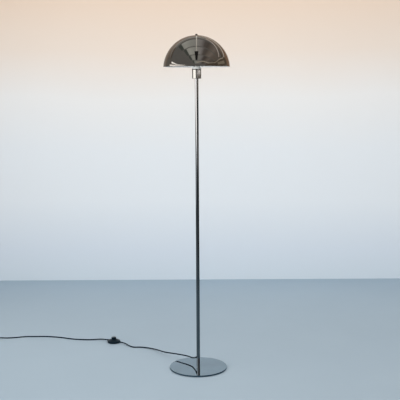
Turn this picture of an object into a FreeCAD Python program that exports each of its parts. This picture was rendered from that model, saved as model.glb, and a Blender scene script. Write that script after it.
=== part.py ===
import FreeCAD, Part
import math
import os
import Sketcher

# Floor lamp: a heavy round base, a thin pole in three tubes, a lampholder in a cup, and a spun
# dome shade on a harp. The cord leaves the pole low down and carries a foot switch and a plug.
# The frame has its origin under the middle of the base, +Z up, and the front towards -Y.

# Driving dimensions in millimetres, with angles in degrees and counts as plain numbers
SIZES = {
    # Base
    "base_diameter": 268.0,
    "base_thickness": 6.0,
    "base_edge_round": 0.8,
    "pad_thickness": 1.5,
    "pad_inset": 5.0,
    "pad_hole_diameter": 24.0,
    "base_screw_diameter": 8.0,
    "base_screw_length": 24.0,
    "base_screw_head_diameter": 15.0,
    "base_screw_head_height": 3.6,
    "base_screw_recess": 0.2,
    "base_screw_key": 5.0,
    "base_screw_key_depth": 2.6,
    # Fits
    "fit_clearance": 0.05,
    "turning_clearance": 0.08,
    "moving_gap": 0.3,
    # Pole
    "pole_diameter": 16.0,
    "pole_wall": 1.2,
    "pole_section_length": 447.8,
    "insert_length": 25.0,
    "pipe_thread_diameter": 10.0,
    "pipe_bore": 7.6,
    "pipe_stud_length": 12.0,
    # Cable and its outlet in the pole
    "cord_diameter": 6.0,
    "outlet_height": 51.0,
    "outlet_azimuth": 24.8,
    "outlet_pitch": 25.0,
    "outlet_bush_diameter": 9.2,
    "outlet_bush_tip_diameter": 7.4,
    "outlet_bush_inside": 2.2,
    "outlet_bush_outside": 20.0,
    "cable_inner_offset": 3.2,
    "cable_centring_height": 95.0,
    "conductor_diameter": 2.0,
    "conductor_spacing": 2.8,
    "conductor_lead": 4.0,
    "conductor_end_run": 5.0,
    # Lampholder
    "cup_diameter": 41.0,
    "cup_height": 40.0,
    "cup_wall": 1.0,
    "cup_bottom_round": 1.2,
    "cup_edge_round": 0.3,
    "nut_key": 14.0,
    "nut_height": 3.0,
    "nipple_below": 13.0,
    "nipple_above_floor": 0.8,
    "holder_base_diameter": 36.4,
    "holder_base_wall": 2.0,
    "holder_base_floor": 2.5,
    "holder_base_height": 16.0,
    "holder_ledge_height": 8.0,
    "holder_ledge_width": 1.6,
    "block_height": 16.5,
    "block_recess_diameter": 12.0,
    "block_recess_depth": 3.0,
    "terminal_pitch": 18.0,
    "terminal_screw_diameter": 3.0,
    "terminal_head_diameter": 5.5,
    "terminal_head_height": 2.4,
    "terminal_screw_depth": 6.0,
    "contact_diameter": 7.0,
    "contact_height": 2.5,
    "shell_inner_diameter": 27.0,
    "shell_wall": 0.5,
    "shell_height": 22.0,
    "shell_lip": 2.0,
    "skirt_diameter": 37.0,
    "skirt_bore": 29.2,
    "skirt_height": 33.0,
    "ring_diameter": 41.0,
    "ring_height": 7.0,
    # Harp and its turning stud
    "harp_ring_height": 4.0,
    "harp_ear_thickness": 2.0,
    "harp_ear_width": 7.0,
    "harp_ear_reach": 25.6,
    "harp_angle": 60.0,
    "harp_wire_diameter": 3.2,
    "harp_foot_radius": 22.8,
    "harp_belly_radius": 47.0,
    "harp_shoulder_radius": 33.0,
    "harp_foot_rise": 14.0,
    "harp_belly_rise": 41.0,
    "harp_boss_diameter": 14.0,
    "harp_boss_height": 9.0,
    "harp_socket_depth": 2.6,
    "stud_diameter": 6.0,
    "stud_collar_diameter": 16.0,
    "stud_collar_height": 4.0,
    "stud_head_diameter": 9.0,
    "stud_head_height": 1.6,
    "stud_above_shade": 4.2,
    # Shade and finial
    "shade_rim_rise": 12.6,
    "shade_diameter": 300.0,
    "shade_height": 140.0,
    "shade_thickness": 1.0,
    "shade_flat_diameter": 18.0,
    "shade_hem_ledge": 1.4,
    "shade_hem_height": 2.4,
    "shade_hem_round": 0.9,
    "crown_washer_diameter": 14.0,
    "crown_washer_thickness": 0.8,
    "finial_diameter": 13.0,
    "finial_height": 5.7,
    "finial_skirt_height": 1.6,
    "finial_bore_depth": 4.0,
    # Bulb
    "bulb_shoulder_depth": 41.2,
    "bulb_shoulder_diameter": 55.6,
    "bulb_length": 108.5,
    "bulb_glass_wall": 1.0,
    "bulb_neck_diameter": 24.0,
    "bulb_neck_depth": 13.0,
    "bulb_neck_rise": 2.0,
    "cap_height": 21.6,
    "cap_crest_diameter": 26.4,
    "cap_root_diameter": 25.0,
    "cap_wall": 0.45,
    "cap_thread_rings": 5,
    "cap_thread_pitch": 3.6,
    "insulator_height": 4.0,
    "insulator_top_diameter": 22.0,
    "insulator_bottom_diameter": 10.4,
    "tip_height": 1.4,
    "tip_diameter": 8.4,
    # Foot switch
    "switch_x": -439.0,
    "switch_y": 403.0,
    "switch_turn": 150.0,
    "switch_diameter": 66.0,
    "switch_wall": 2.0,
    "switch_foot_diameter": 7.0,
    "switch_foot_height": 1.5,
    "switch_foot_radius": 24.0,
    "switch_seam_height": 8.0,
    "switch_belly_rise": 2.5,
    "switch_edge_rise": 1.5,
    "switch_top_height": 18.0,
    "switch_collar_height": 1.0,
    "switch_collar_wall": 2.0,
    "button_diameter": 24.0,
    "button_top_height": 30.0,
    "button_crown": 1.5,
    "button_wall": 1.6,
    "button_roof": 2.5,
    "button_flange_width": 1.6,
    "button_flange_height": 2.0,
    "button_edge_round": 0.8,
    "button_travel": 3.5,
    "button_post_diameter": 6.0,
    "button_post_length": 8.0,
    "spring_diameter": 10.0,
    "spring_wire_diameter": 0.9,
    "spring_turns": 7,
    "spring_post_diameter": 7.2,
    "spring_post_height": 4.5,
    "contact_ring_thickness": 0.8,
    "contact_ring_width": 3.0,
    "contact_arm_radius": 10.5,
    "contact_arm_width": 3.0,
    "switch_terminal_width": 7.0,
    "switch_terminal_reach": 20.0,
    "switch_terminal_height": 3.5,
    "switch_terminal_screw_radius": 17.2,
    "switch_terminal_head_diameter": 4.6,
    "switch_terminal_head_height": 1.8,
    "housing_screw_radius": 25.6,
    "housing_screw_diameter": 2.8,
    "housing_screw_head_diameter": 5.6,
    "housing_screw_head_height": 1.8,
    "housing_screw_length": 7.5,
    "housing_boss_diameter": 7.4,
    "boot_diameter": 8.8,
    "boot_tip_diameter": 7.4,
    "boot_inner_radius": 22.0,
    "boot_waist_radius": 33.5,
    "boot_outer_radius": 42.0,
    "cord_tail_radius": 16.0,
    # Coil of put-away cord, its tie, and the plug
    "coil_x": -1112.0,
    "coil_y": 443.0,
    "coil_middle_diameter": 66.0,
    "coil_pitch": 6.5,
    "coil_turns": 4.25,
    "tie_thickness": 1.2,
    "tie_width": 14.0,
    "tie_gap": 0.4,
    "plug_distance": 82.0,
    "plug_sideways": 43.0,
    "plug_thickness": 13.7,
    "plug_face_width": 26.0,
    "plug_body_width": 35.3,
    "plug_tail_width": 14.0,
    "plug_flare_length": 16.2,
    "plug_shoulder_length": 13.0,
    "plug_body_length": 40.0,
    "plug_edge_round": 2.2,
    "plug_relief_length": 24.0,
    "plug_relief_diameter": 10.4,
    "plug_relief_tip_diameter": 7.4,
    "pin_diameter": 4.0,
    "pin_pitch": 18.6,
    "pin_length": 19.0,
    "pin_depth": 12.0,
    "pin_neck_diameter": 2.8,
    "pin_tip_round": 1.2,
    "pin_sleeve_diameter": 3.6,
    "pin_sleeve_length": 10.0,
}

FULL_TURN = 360.0
NEAR = 1e-4
RUN_SHARE = 0.45

document = FreeCAD.newDocument("floor_lamp")
sheet = document.addObject("Spreadsheet::Sheet", "sizes")
for row, (alias, number) in enumerate(SIZES.items(), start=1):
    sheet.set(f"A{row}", alias)
    sheet.set(f"B{row}", str(number))
    sheet.setAlias(f"B{row}", alias)
document.recompute()

nodes = {}


class Size:
    """A dimension: what it measures now, and the expression that ties it to the sheet."""

    def __init__(self, value, text):
        self.value = value
        self.text = text

    def __add__(self, other):
        other = as_size(other)
        return Size(self.value + other.value, f"({self.text} + {other.text})")

    def __sub__(self, other):
        other = as_size(other)
        return Size(self.value - other.value, f"({self.text} - {other.text})")

    def __mul__(self, factor):
        factor = as_size(factor)
        return Size(self.value * factor.value, f"({self.text} * {factor.text})")

    def __truediv__(self, divisor):
        divisor = as_size(divisor)
        return Size(self.value / divisor.value, f"({self.text} / {divisor.text})")

    def __neg__(self):
        return Size(-self.value, f"(-{self.text})")


class SheetSizes:
    """The sheet's cells by name."""

    def __getattr__(self, name):
        return Size(float(SIZES[name]), f"sizes.{name}")


def as_size(number):
    if isinstance(number, Size):
        return number
    return Size(float(number), f"{float(number):.9f}")


def root(size):
    return Size(math.sqrt(size.value), f"sqrt({size.text})")


def point(x, y, z):
    return FreeCAD.Vector(as_size(x).value, as_size(y).value, as_size(z).value)


def bind(thing, path, size):
    thing.setExpression(path, as_size(size).text)


def place(thing, x=0, y=0, z=0):
    """Put a piece at a point, tied to the sheet."""
    thing.Placement.Base = point(x, y, z)
    for axis, size in (("x", x), ("y", y), ("z", z)):
        if as_size(size).value != 0:
            bind(thing, f".Placement.Base.{axis}", size)


def turn(thing, rotation):
    thing.Placement = FreeCAD.Placement(thing.Placement.Base, rotation)


def keep(name, thing):
    """Give a finished sub-part the name of its node."""
    thing.Label = name
    nodes[name] = thing
    return thing


# Sketches and features

def sketch_on(body, name, role):
    plane = next(feature for feature in body.Origin.OriginFeatures if feature.Role == role)
    sketch = body.newObject("Sketcher::SketchObject", name)
    sketch.AttachmentSupport = [(plane, "")]
    sketch.MapMode = "FlatFace"
    return sketch


def add_line(sketch, start, end):
    line = Part.LineSegment(point(start[0], start[1], 0), point(end[0], end[1], 0))
    return sketch.addGeometry(line, False), 1, 2


def add_axis_arc(sketch, start, end):
    """An arc between two points whose centre lies on the vertical axis."""
    (x0, y0), (x1, y1) = [(corner[0].value, corner[1].value) for corner in (start, end)]
    middle = (x0 ** 2 + y0 ** 2 - x1 ** 2 - y1 ** 2) / (2 * (y0 - y1))
    radius = math.hypot(x0, y0 - middle)
    first, last = math.atan2(y0 - middle, x0), math.atan2(y1 - middle, x1)
    circle = Part.Circle(FreeCAD.Vector(0, middle, 0), FreeCAD.Vector(0, 0, 1), radius)
    arc = Part.ArcOfCircle(circle, min(first, last), max(first, last))
    number = sketch.addGeometry(arc, False)
    sketch.addConstraint(Sketcher.Constraint("PointOnObject", number, 3, -2))
    return (number, 1, 2) if first < last else (number, 2, 1)


def fix(sketch, geometry, vertex, corner):
    """Hold one corner of an outline at its two dimensions."""
    for kind, axis, size in (("DistanceX", -2, corner[0]), ("DistanceY", -1, corner[1])):
        if size.value == 0:
            sketch.addConstraint(Sketcher.Constraint("PointOnObject", geometry, vertex, axis))
        else:
            rule = Sketcher.Constraint(kind, -1, 1, geometry, vertex, size.value)
            number = sketch.addConstraint(rule)
            sketch.setExpression(f"Constraints[{number}]", size.text)


def draw_outline(sketch, outline):
    """A closed outline through its corners. A corner marked arc is reached by an arc."""
    corners = [(as_size(corner[0]), as_size(corner[1])) for corner in outline]
    sides = []
    for number, corner in enumerate(corners):
        add_side = add_axis_arc if len(outline[number]) > 2 else add_line
        sides.append(add_side(sketch, corners[number - 1], corner))
    for number, (geometry, _, end) in enumerate(sides):
        following, start, _ = sides[(number + 1) % len(sides)]
        sketch.addConstraint(Sketcher.Constraint("Coincident", geometry, end, following, start))
        fix(sketch, geometry, end, corners[number])


def turned(name, outline):
    """A body turned about the vertical axis, from the outline of one side: (radius, height)."""
    body = document.addObject("PartDesign::Body", f"{name}_body")
    body.Label = name
    sketch = sketch_on(body, f"{name}_outline", "XZ_Plane")
    draw_outline(sketch, outline)
    feature = body.newObject("PartDesign::Revolution", f"{name}_turned")
    feature.Profile = sketch
    feature.ReferenceAxis = (sketch, ["V_Axis"])
    feature.Angle = FULL_TURN
    body.Tip = feature
    return body


def padded(name, outline, height):
    """A body with the outline as its plan, raised to a height."""
    body = document.addObject("PartDesign::Body", f"{name}_body")
    body.Label = name
    sketch = sketch_on(body, f"{name}_plan", "XY_Plane")
    draw_outline(sketch, outline)
    feature = body.newObject("PartDesign::Pad", f"{name}_pad")
    feature.Profile = sketch
    bind(feature, "Length", height)
    body.Tip = feature
    return body


def round_edges(body, size, wanted):
    """Round the edges of the body for which wanted(edge) is true."""
    document.recompute()
    base = body.Tip
    names = [f"Edge{number}" for number, edge in enumerate(base.Shape.Edges, start=1) if wanted(edge)]
    feature = body.newObject("PartDesign::Fillet", f"{body.Name}_round")
    feature.Base = (base, names)
    bind(feature, "Radius", size)
    body.Tip = feature


def circle_at(radius, height):
    """A test for the circular edge of that radius, at that height."""
    def test(edge):
        if edge.Degenerated or not isinstance(edge.Curve, Part.Circle):
            return False
        curve = edge.Curve
        return abs(curve.Radius - radius.value) < NEAR and abs(curve.Center.z - height.value) < NEAR
    return test


# Primitives and booleans

def rod(name, diameter, height, x=0, y=0, z=0):
    piece = document.addObject("Part::Cylinder", name)
    bind(piece, "Radius", diameter / 2)
    bind(piece, "Height", height)
    place(piece, x, y, z)
    return piece


def block(name, length, width, height, x=0, y=0, z=0):
    """A box with its middle at x and y, and its underside at z."""
    piece = document.addObject("Part::Box", name)
    bind(piece, "Length", length)
    bind(piece, "Width", width)
    bind(piece, "Height", height)
    place(piece, as_size(x) - length / 2, as_size(y) - width / 2, z)
    return piece


def hexagon(name, across_flats, height, z):
    piece = document.addObject("Part::Prism", name)
    piece.Polygon = 6
    bind(piece, "Circumradius", across_flats / root(as_size(3)))
    bind(piece, "Height", height)
    place(piece, 0, 0, z)
    return piece


def joined(name, pieces):
    piece = document.addObject("Part::MultiFuse", name)
    piece.Shapes = pieces
    piece.Refine = True
    return piece


def cut_from(name, base, tools):
    tool = tools[0] if len(tools) == 1 else joined(f"{name}_tools", tools)
    piece = document.addObject("Part::Cut", name)
    piece.Base = base
    piece.Tool = tool
    return piece


def together(name, pieces):
    """Several separate solids in one node."""
    group = document.addObject("Part::Compound", name)
    group.Links = pieces
    return group


def lay_along_x(thing, side):
    """Turn a piece so that its own height points along +X or -X."""
    turn(thing, FreeCAD.Rotation(FreeCAD.Vector(0, 0, 1), FreeCAD.Vector(side, 0, 0)))


# Round tubes along straight runs and tangent arcs

def tangent_arc(start, corner, end):
    """The arc that leaves start towards the corner and comes from the corner at end."""
    middle = (start + end) * 0.5
    rise = corner - middle
    half_chord = (end - start).Length / 2
    half_turn = math.atan2(rise.Length, half_chord)
    top = middle + rise * (half_chord * math.tan(half_turn / 2) / rise.Length)
    return Part.Arc(start, top, end).toShape()


def rounded_route(points, legs=None):
    """Edges along the points, each corner rounded by its leg, and the radii of the corners."""
    edges, radii = [], []
    start = points[0]
    for number in range(1, len(points) - 1):
        before = points[number - 1] - points[number]
        after = points[number + 1] - points[number]
        leg = legs[number - 1] if legs else RUN_SHARE * min(before.Length, after.Length)
        half_turn = (math.pi - before.getAngle(after)) / 2
        radii.append(leg / math.tan(half_turn))
        arc_start = points[number] + before * (leg / before.Length)
        arc_end = points[number] + after * (leg / after.Length)
        edges.append(Part.LineSegment(start, arc_start).toShape())
        edges.append(tangent_arc(arc_start, points[number], arc_end))
        start = arc_end
    edges.append(Part.LineSegment(start, points[-1]).toShape())
    return edges, radii


def biarc(start, start_way, end, end_way):
    """Two tangent arcs between two points, leaving and arriving in the given directions."""
    span = end - start
    ways = start_way + end_way
    spread = 2 * (1 - start_way.dot(end_way))
    along = span.dot(ways)
    leg = (math.sqrt(along ** 2 + spread * span.dot(span)) - along) / spread
    first_corner = start + start_way * leg
    last_corner = end - end_way * leg
    joint = (first_corner + last_corner) * 0.5
    return [tangent_arc(start, first_corner, joint), tangent_arc(joint, last_corner, end)]


def tube(edges, diameter):
    """A round tube along the edges."""
    first = edges[0]
    way = first.tangentAt(first.FirstParameter)
    section = Part.Wire([Part.makeCircle(diameter.value / 2, first.valueAt(first.FirstParameter), way)])
    return Part.Wire(edges).makePipeShell([section], True, False)


def tube_node(name, edges, diameter, radii=()):
    """Keep a tube as a node, and print how its volume compares with section times length."""
    shape = tube(edges, diameter)
    length = sum(edge.Length for edge in edges)
    expected = math.pi * (diameter.value / 2) ** 2 * length
    smallest = f", smallest radius {min(radii):.1f}" if radii else ""
    print(f"{name}: length {length:.1f}, volume {shape.Volume / expected:.4f} of section times length"
          + smallest)
    piece = document.addObject("Part::Feature", name)
    piece.Shape = shape
    keep(name, piece)
    return piece


def least_gap(points, diameter, skip):
    """The smallest clear distance between points of a tube that are over skip points apart."""
    nearest = min((points[i] - points[j]).Length
                  for i in range(len(points)) for j in range(i + skip, len(points)))
    return nearest - diameter.value


dim = SheetSizes()

# Places that several pieces share
base_bottom = dim.pad_thickness
base_top = base_bottom + dim.base_thickness
pole_top = base_top + dim.pole_section_length * 3
pole_bore = dim.pole_diameter - dim.pole_wall * 2
insert_diameter = pole_bore - dim.fit_clearance * 2
cup_floor_top = pole_top + dim.cup_wall
cup_top = pole_top + dim.cup_height
holder_bottom = cup_floor_top + dim.nut_height
holder_floor_top = holder_bottom + dim.holder_base_floor
holder_seam = holder_bottom + dim.holder_base_height
harp_ring_top = cup_top + dim.harp_ring_height
shade_rim = cup_top + dim.shade_rim_rise
shade_top = shade_rim + dim.shade_height
shade_seat = shade_top - dim.shade_thickness
boss_top = shade_seat - dim.stud_collar_height - dim.moving_gap
boss_bottom = boss_top - dim.harp_boss_height
pipe_thread_hole = dim.pipe_thread_diameter + dim.fit_clearance * 2


# Base

def make_base():
    radius = dim.base_diameter / 2
    hole = dim.base_screw_diameter / 2 + dim.fit_clearance
    sink = dim.base_screw_head_diameter / 2 + dim.fit_clearance
    sink_top = base_bottom + dim.base_screw_recess + dim.base_screw_head_height
    plate = turned("base_plate", [
        (sink, base_bottom),
        (radius, base_bottom),
        (radius, base_top),
        (hole, base_top),
        (hole, sink_top),
        (sink, base_bottom + dim.base_screw_recess),
    ])
    edges = [circle_at(radius, base_bottom), circle_at(radius, base_top)]
    round_edges(plate, dim.base_edge_round, lambda edge: any(test(edge) for test in edges))
    keep("base_plate", plate)

    pad_radius = radius - dim.pad_inset
    pad_hole = dim.pad_hole_diameter / 2
    keep("base_pad", turned("base_pad", [
        (pad_hole, 0), (pad_radius, 0), (pad_radius, base_bottom), (pad_hole, base_bottom),
    ]))

    head_bottom = base_bottom + dim.base_screw_recess
    head_top = head_bottom + dim.base_screw_head_height
    head_radius = dim.base_screw_head_diameter / 2
    shank_radius = dim.base_screw_diameter / 2
    blank = turned("base_screw_blank", [
        (0, head_bottom),
        (head_radius, head_bottom),
        (shank_radius, head_top),
        (shank_radius, head_bottom + dim.base_screw_length),
        (0, head_bottom + dim.base_screw_length),
    ])
    key = hexagon("base_screw_key", dim.base_screw_key, dim.base_screw_key_depth, head_bottom)
    keep("base_screw", cut_from("base_screw", blank, [key]))


# Pole: three tubes, the threaded inserts that join them, and the plug in the foot

def outlet_frame():
    """The point on the pole's axis and the direction of the cable outlet."""
    azimuth = math.radians(dim.outlet_azimuth.value)
    pitch = math.radians(dim.outlet_pitch.value)
    way = FreeCAD.Vector(-math.sin(azimuth) * math.cos(pitch),
                         math.cos(azimuth) * math.cos(pitch),
                         -math.sin(pitch))
    height = dim.outlet_height.value + dim.pole_diameter.value / 2 * math.tan(pitch)
    return FreeCAD.Vector(0, 0, height), way


def outlet_distance(radius):
    """How far along the outlet's direction the pole's axis lies from a given radius."""
    return radius / math.cos(math.radians(dim.outlet_pitch.value))


def aim_outlet(thing):
    start, way = outlet_frame()
    thing.Placement = FreeCAD.Placement(start, FreeCAD.Rotation(FreeCAD.Vector(0, 0, 1), way))


def make_pole():
    outer = dim.pole_diameter / 2
    inner = pole_bore / 2
    bottom = base_top
    for name in ("pole_lower", "pole_middle", "pole_upper"):
        top = bottom + dim.pole_section_length
        is_lower = name == "pole_lower"
        section = turned(f"{name}_tube" if is_lower else name, [
            (inner, bottom), (outer, bottom), (outer, top), (inner, top),
        ])
        if is_lower:
            hole = rod("outlet_hole", dim.outlet_bush_diameter + dim.fit_clearance * 2,
                       dim.pole_diameter)
            aim_outlet(hole)
            section = cut_from(name, section, [hole])
        keep(name, section)
        bottom = top

    foot_top = base_top + dim.insert_length
    screw_hole = dim.base_screw_diameter / 2 + dim.fit_clearance
    keep("pole_foot_plug", turned("pole_foot_plug", [
        (screw_hole, base_top), (insert_diameter / 2, base_top),
        (insert_diameter / 2, foot_top), (screw_hole, foot_top),
    ]))

    thread_hole = pipe_thread_hole / 2
    stud_radius = dim.pipe_thread_diameter / 2
    for number, name in enumerate(("lower", "upper"), start=1):
        seam = base_top + dim.pole_section_length * number
        keep(f"joint_socket_{name}", turned(f"joint_socket_{name}", [
            (thread_hole, seam - dim.insert_length), (insert_diameter / 2, seam - dim.insert_length),
            (insert_diameter / 2, seam), (thread_hole, seam),
        ]))
        keep(f"joint_stud_{name}", turned(f"joint_stud_{name}", [
            (dim.pipe_bore / 2, seam - dim.pipe_stud_length),
            (stud_radius, seam - dim.pipe_stud_length),
            (stud_radius, seam),
            (insert_diameter / 2, seam),
            (insert_diameter / 2, seam + dim.insert_length),
            (dim.pipe_bore / 2, seam + dim.insert_length),
        ]))
    keep("pole_top_insert", turned("pole_top_insert", [
        (thread_hole, pole_top - dim.insert_length),
        (insert_diameter / 2, pole_top - dim.insert_length),
        (insert_diameter / 2, pole_top), (thread_hole, pole_top),
    ]))


def make_outlet_bush():
    wall = as_size(outlet_distance((dim.pole_diameter / 2).value))
    bore = dim.cord_diameter / 2 + dim.fit_clearance
    start = wall - dim.outlet_bush_inside
    end = wall + dim.outlet_bush_outside
    bush = turned("outlet_bush", [
        (bore, start), (dim.outlet_bush_diameter / 2, start), (dim.outlet_bush_diameter / 2, wall),
        (dim.outlet_bush_tip_diameter / 2, end), (bore, end),
    ])
    aim_outlet(bush)
    keep("outlet_bush", bush)


def outlet_end():
    """Where the free cord starts, at the tip of the bush, and its direction there."""
    start, way = outlet_frame()
    reach = outlet_distance(dim.pole_diameter.value / 2) + dim.outlet_bush_outside.value
    return start + way * reach, way


def make_pole_cable():
    axis_point, way = outlet_frame()
    end, _ = outlet_end()
    beyond = outlet_distance(dim.cable_inner_offset.value)
    corner = axis_point - way * beyond
    centred = FreeCAD.Vector(0, 0, corner.z + dim.cable_centring_height.value)
    stop = point(0, 0, holder_floor_top + dim.nipple_above_floor + dim.fit_clearance)
    bush_start = outlet_distance(dim.pole_diameter.value / 2) - dim.outlet_bush_inside.value
    legs = [beyond + bush_start, RUN_SHARE * (centred - corner).Length]
    edges, radii = rounded_route([end, corner, centred, stop], legs)
    tube_node("pole_cable", edges, dim.cord_diameter, radii)


# Lampholder in its cup

def make_cup():
    radius = dim.cup_diameter / 2
    inner = radius - dim.cup_wall
    hole = pipe_thread_hole / 2
    cup = turned("lampholder_cup", [
        (hole, pole_top), (radius, pole_top), (radius, cup_top),
        (inner, cup_top), (inner, cup_floor_top), (hole, cup_floor_top),
    ])
    round_edges(cup, dim.cup_bottom_round, circle_at(radius, pole_top))
    round_edges(cup, dim.cup_edge_round, circle_at(radius, cup_top))
    keep("lampholder_cup", cup)

    nipple_length = dim.nipple_below + dim.cup_wall + dim.nut_height + dim.holder_base_floor
    nipple_length = nipple_length + dim.nipple_above_floor
    nipple_bottom = pole_top - dim.nipple_below
    pipe = rod("nipple_pipe", dim.pipe_thread_diameter, nipple_length, 0, 0, nipple_bottom)
    bore = rod("nipple_bore", dim.pipe_bore, nipple_length, 0, 0, nipple_bottom)
    keep("threaded_nipple", cut_from("threaded_nipple", pipe, [bore]))

    blank = hexagon("nut_blank", dim.nut_key, dim.nut_height, cup_floor_top)
    bore = rod("nut_bore", pipe_thread_hole, dim.nut_height, 0, 0, cup_floor_top)
    keep("lock_nut", cut_from("lock_nut", blank, [bore]))


def make_lampholder():
    outer = dim.holder_base_diameter / 2
    inner = outer - dim.holder_base_wall
    ledge = inner - dim.holder_ledge_width
    ledge_top = holder_bottom + dim.holder_ledge_height
    hole = pipe_thread_hole / 2
    keep("lampholder_base", turned("lampholder_base", [
        (hole, holder_bottom), (outer, holder_bottom), (outer, holder_seam), (inner, holder_seam),
        (inner, ledge_top), (ledge, ledge_top), (ledge, holder_floor_top), (hole, holder_floor_top),
    ]))

    wide = inner - dim.fit_clearance
    narrow = dim.skirt_bore / 2 - dim.fit_clearance
    block_top = ledge_top + dim.block_height
    recess = dim.block_recess_diameter / 2
    recess_floor = block_top - dim.block_recess_depth
    blank = turned("terminal_block_blank", [
        (0, ledge_top), (wide, ledge_top), (wide, holder_seam), (narrow, holder_seam),
        (narrow, block_top), (recess, block_top), (recess, recess_floor), (0, recess_floor),
    ])
    holes, screws = [], []
    for side in (-1, 1):
        x = dim.terminal_pitch * side / 2
        holes.append(rod("terminal_hole", dim.terminal_screw_diameter + dim.fit_clearance * 2,
                         dim.terminal_screw_depth + dim.moving_gap, x, 0, ledge_top))
        shank = rod("terminal_shank", dim.terminal_screw_diameter, dim.terminal_screw_depth,
                    x, 0, ledge_top)
        head = rod("terminal_head", dim.terminal_head_diameter, dim.terminal_head_height,
                   x, 0, ledge_top - dim.terminal_head_height)
        screws.append(joined("terminal_screw", [shank, head]))
    keep("terminal_block", cut_from("terminal_block", blank, holes))
    keep("terminal_screws", together("terminal_screws", screws))

    contact_top = recess_floor + dim.contact_height
    keep("centre_contact", rod("centre_contact", dim.contact_diameter, dim.contact_height,
                               0, 0, recess_floor))

    shell_inner = dim.shell_inner_diameter / 2
    shell_outer = shell_inner + dim.shell_wall
    shell_lip = shell_inner - dim.shell_lip
    shell_top = block_top + dim.shell_height
    lip_top = block_top + dim.shell_wall
    keep("screw_shell", turned("screw_shell", [
        (shell_lip, block_top), (shell_outer, block_top), (shell_outer, shell_top),
        (shell_inner, shell_top), (shell_inner, lip_top), (shell_lip, lip_top),
    ]))

    skirt_outer = dim.skirt_diameter / 2
    skirt_inner = dim.skirt_bore / 2
    skirt_top = holder_seam + dim.skirt_height
    skirt = turned("lampholder_skirt", [
        (skirt_inner, holder_seam), (skirt_outer, holder_seam), (skirt_outer, skirt_top),
        (skirt_inner, skirt_top),
    ])
    round_edges(skirt, dim.cup_bottom_round, circle_at(skirt_outer, skirt_top))
    keep("lampholder_skirt", skirt)

    ring_inner = skirt_outer + dim.fit_clearance
    ring_outer = dim.ring_diameter / 2
    ring_top = harp_ring_top + dim.ring_height
    ring = turned("holder_ring", [
        (ring_inner, harp_ring_top), (ring_outer, harp_ring_top), (ring_outer, ring_top),
        (ring_inner, ring_top),
    ])
    round_edges(ring, dim.cup_bottom_round, circle_at(ring_outer, ring_top))
    keep("holder_ring", ring)
    return contact_top


def make_holder_wires():
    """Two conductors from the cable's end to the screw heads."""
    start_height = holder_floor_top + dim.nipple_above_floor + dim.fit_clearance
    ledge_top = holder_bottom + dim.holder_ledge_height
    end_height = ledge_top - dim.terminal_head_height / 2
    reach = (dim.terminal_pitch - dim.terminal_head_diameter) / 2
    shapes = []
    for side in (-1, 1):
        beside = dim.conductor_spacing * side / 2
        edges, _ = rounded_route([
            point(beside, 0, start_height),
            point(beside, 0, end_height),
            point(reach * side, 0, end_height),
        ])
        shapes.append(tube(edges, dim.conductor_diameter))
    piece = document.addObject("Part::Feature", "holder_wires")
    piece.Shape = Part.makeCompound(shapes)
    keep("holder_wires", piece)


# Harp that carries the shade

def harp_way(side):
    """The level direction of one harp leg."""
    angle = math.radians(-dim.harp_angle.value)
    return FreeCAD.Vector(math.cos(angle) * side, math.sin(angle) * side, 0)


def turn_to_harp(thing):
    turn(thing, FreeCAD.Rotation(FreeCAD.Vector(0, 0, 1), -dim.harp_angle.value))


def harp_leg_points(side):
    way = harp_way(side)
    socket_radius = dim.harp_boss_diameter / 2 - dim.harp_socket_depth
    boss_middle = boss_top - dim.harp_boss_height / 2
    belly_bottom = cup_top + dim.harp_belly_rise
    belly_top = belly_bottom + (boss_middle - belly_bottom) / 2
    profile = [
        (dim.harp_foot_radius, cup_top),
        (dim.harp_foot_radius, cup_top + dim.harp_foot_rise),
        (dim.harp_belly_radius, belly_bottom),
        (dim.harp_belly_radius, belly_top),
        (dim.harp_shoulder_radius, boss_middle),
        (socket_radius, boss_middle),
    ]
    return [way * radius.value + point(0, 0, height) for radius, height in profile]


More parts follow.
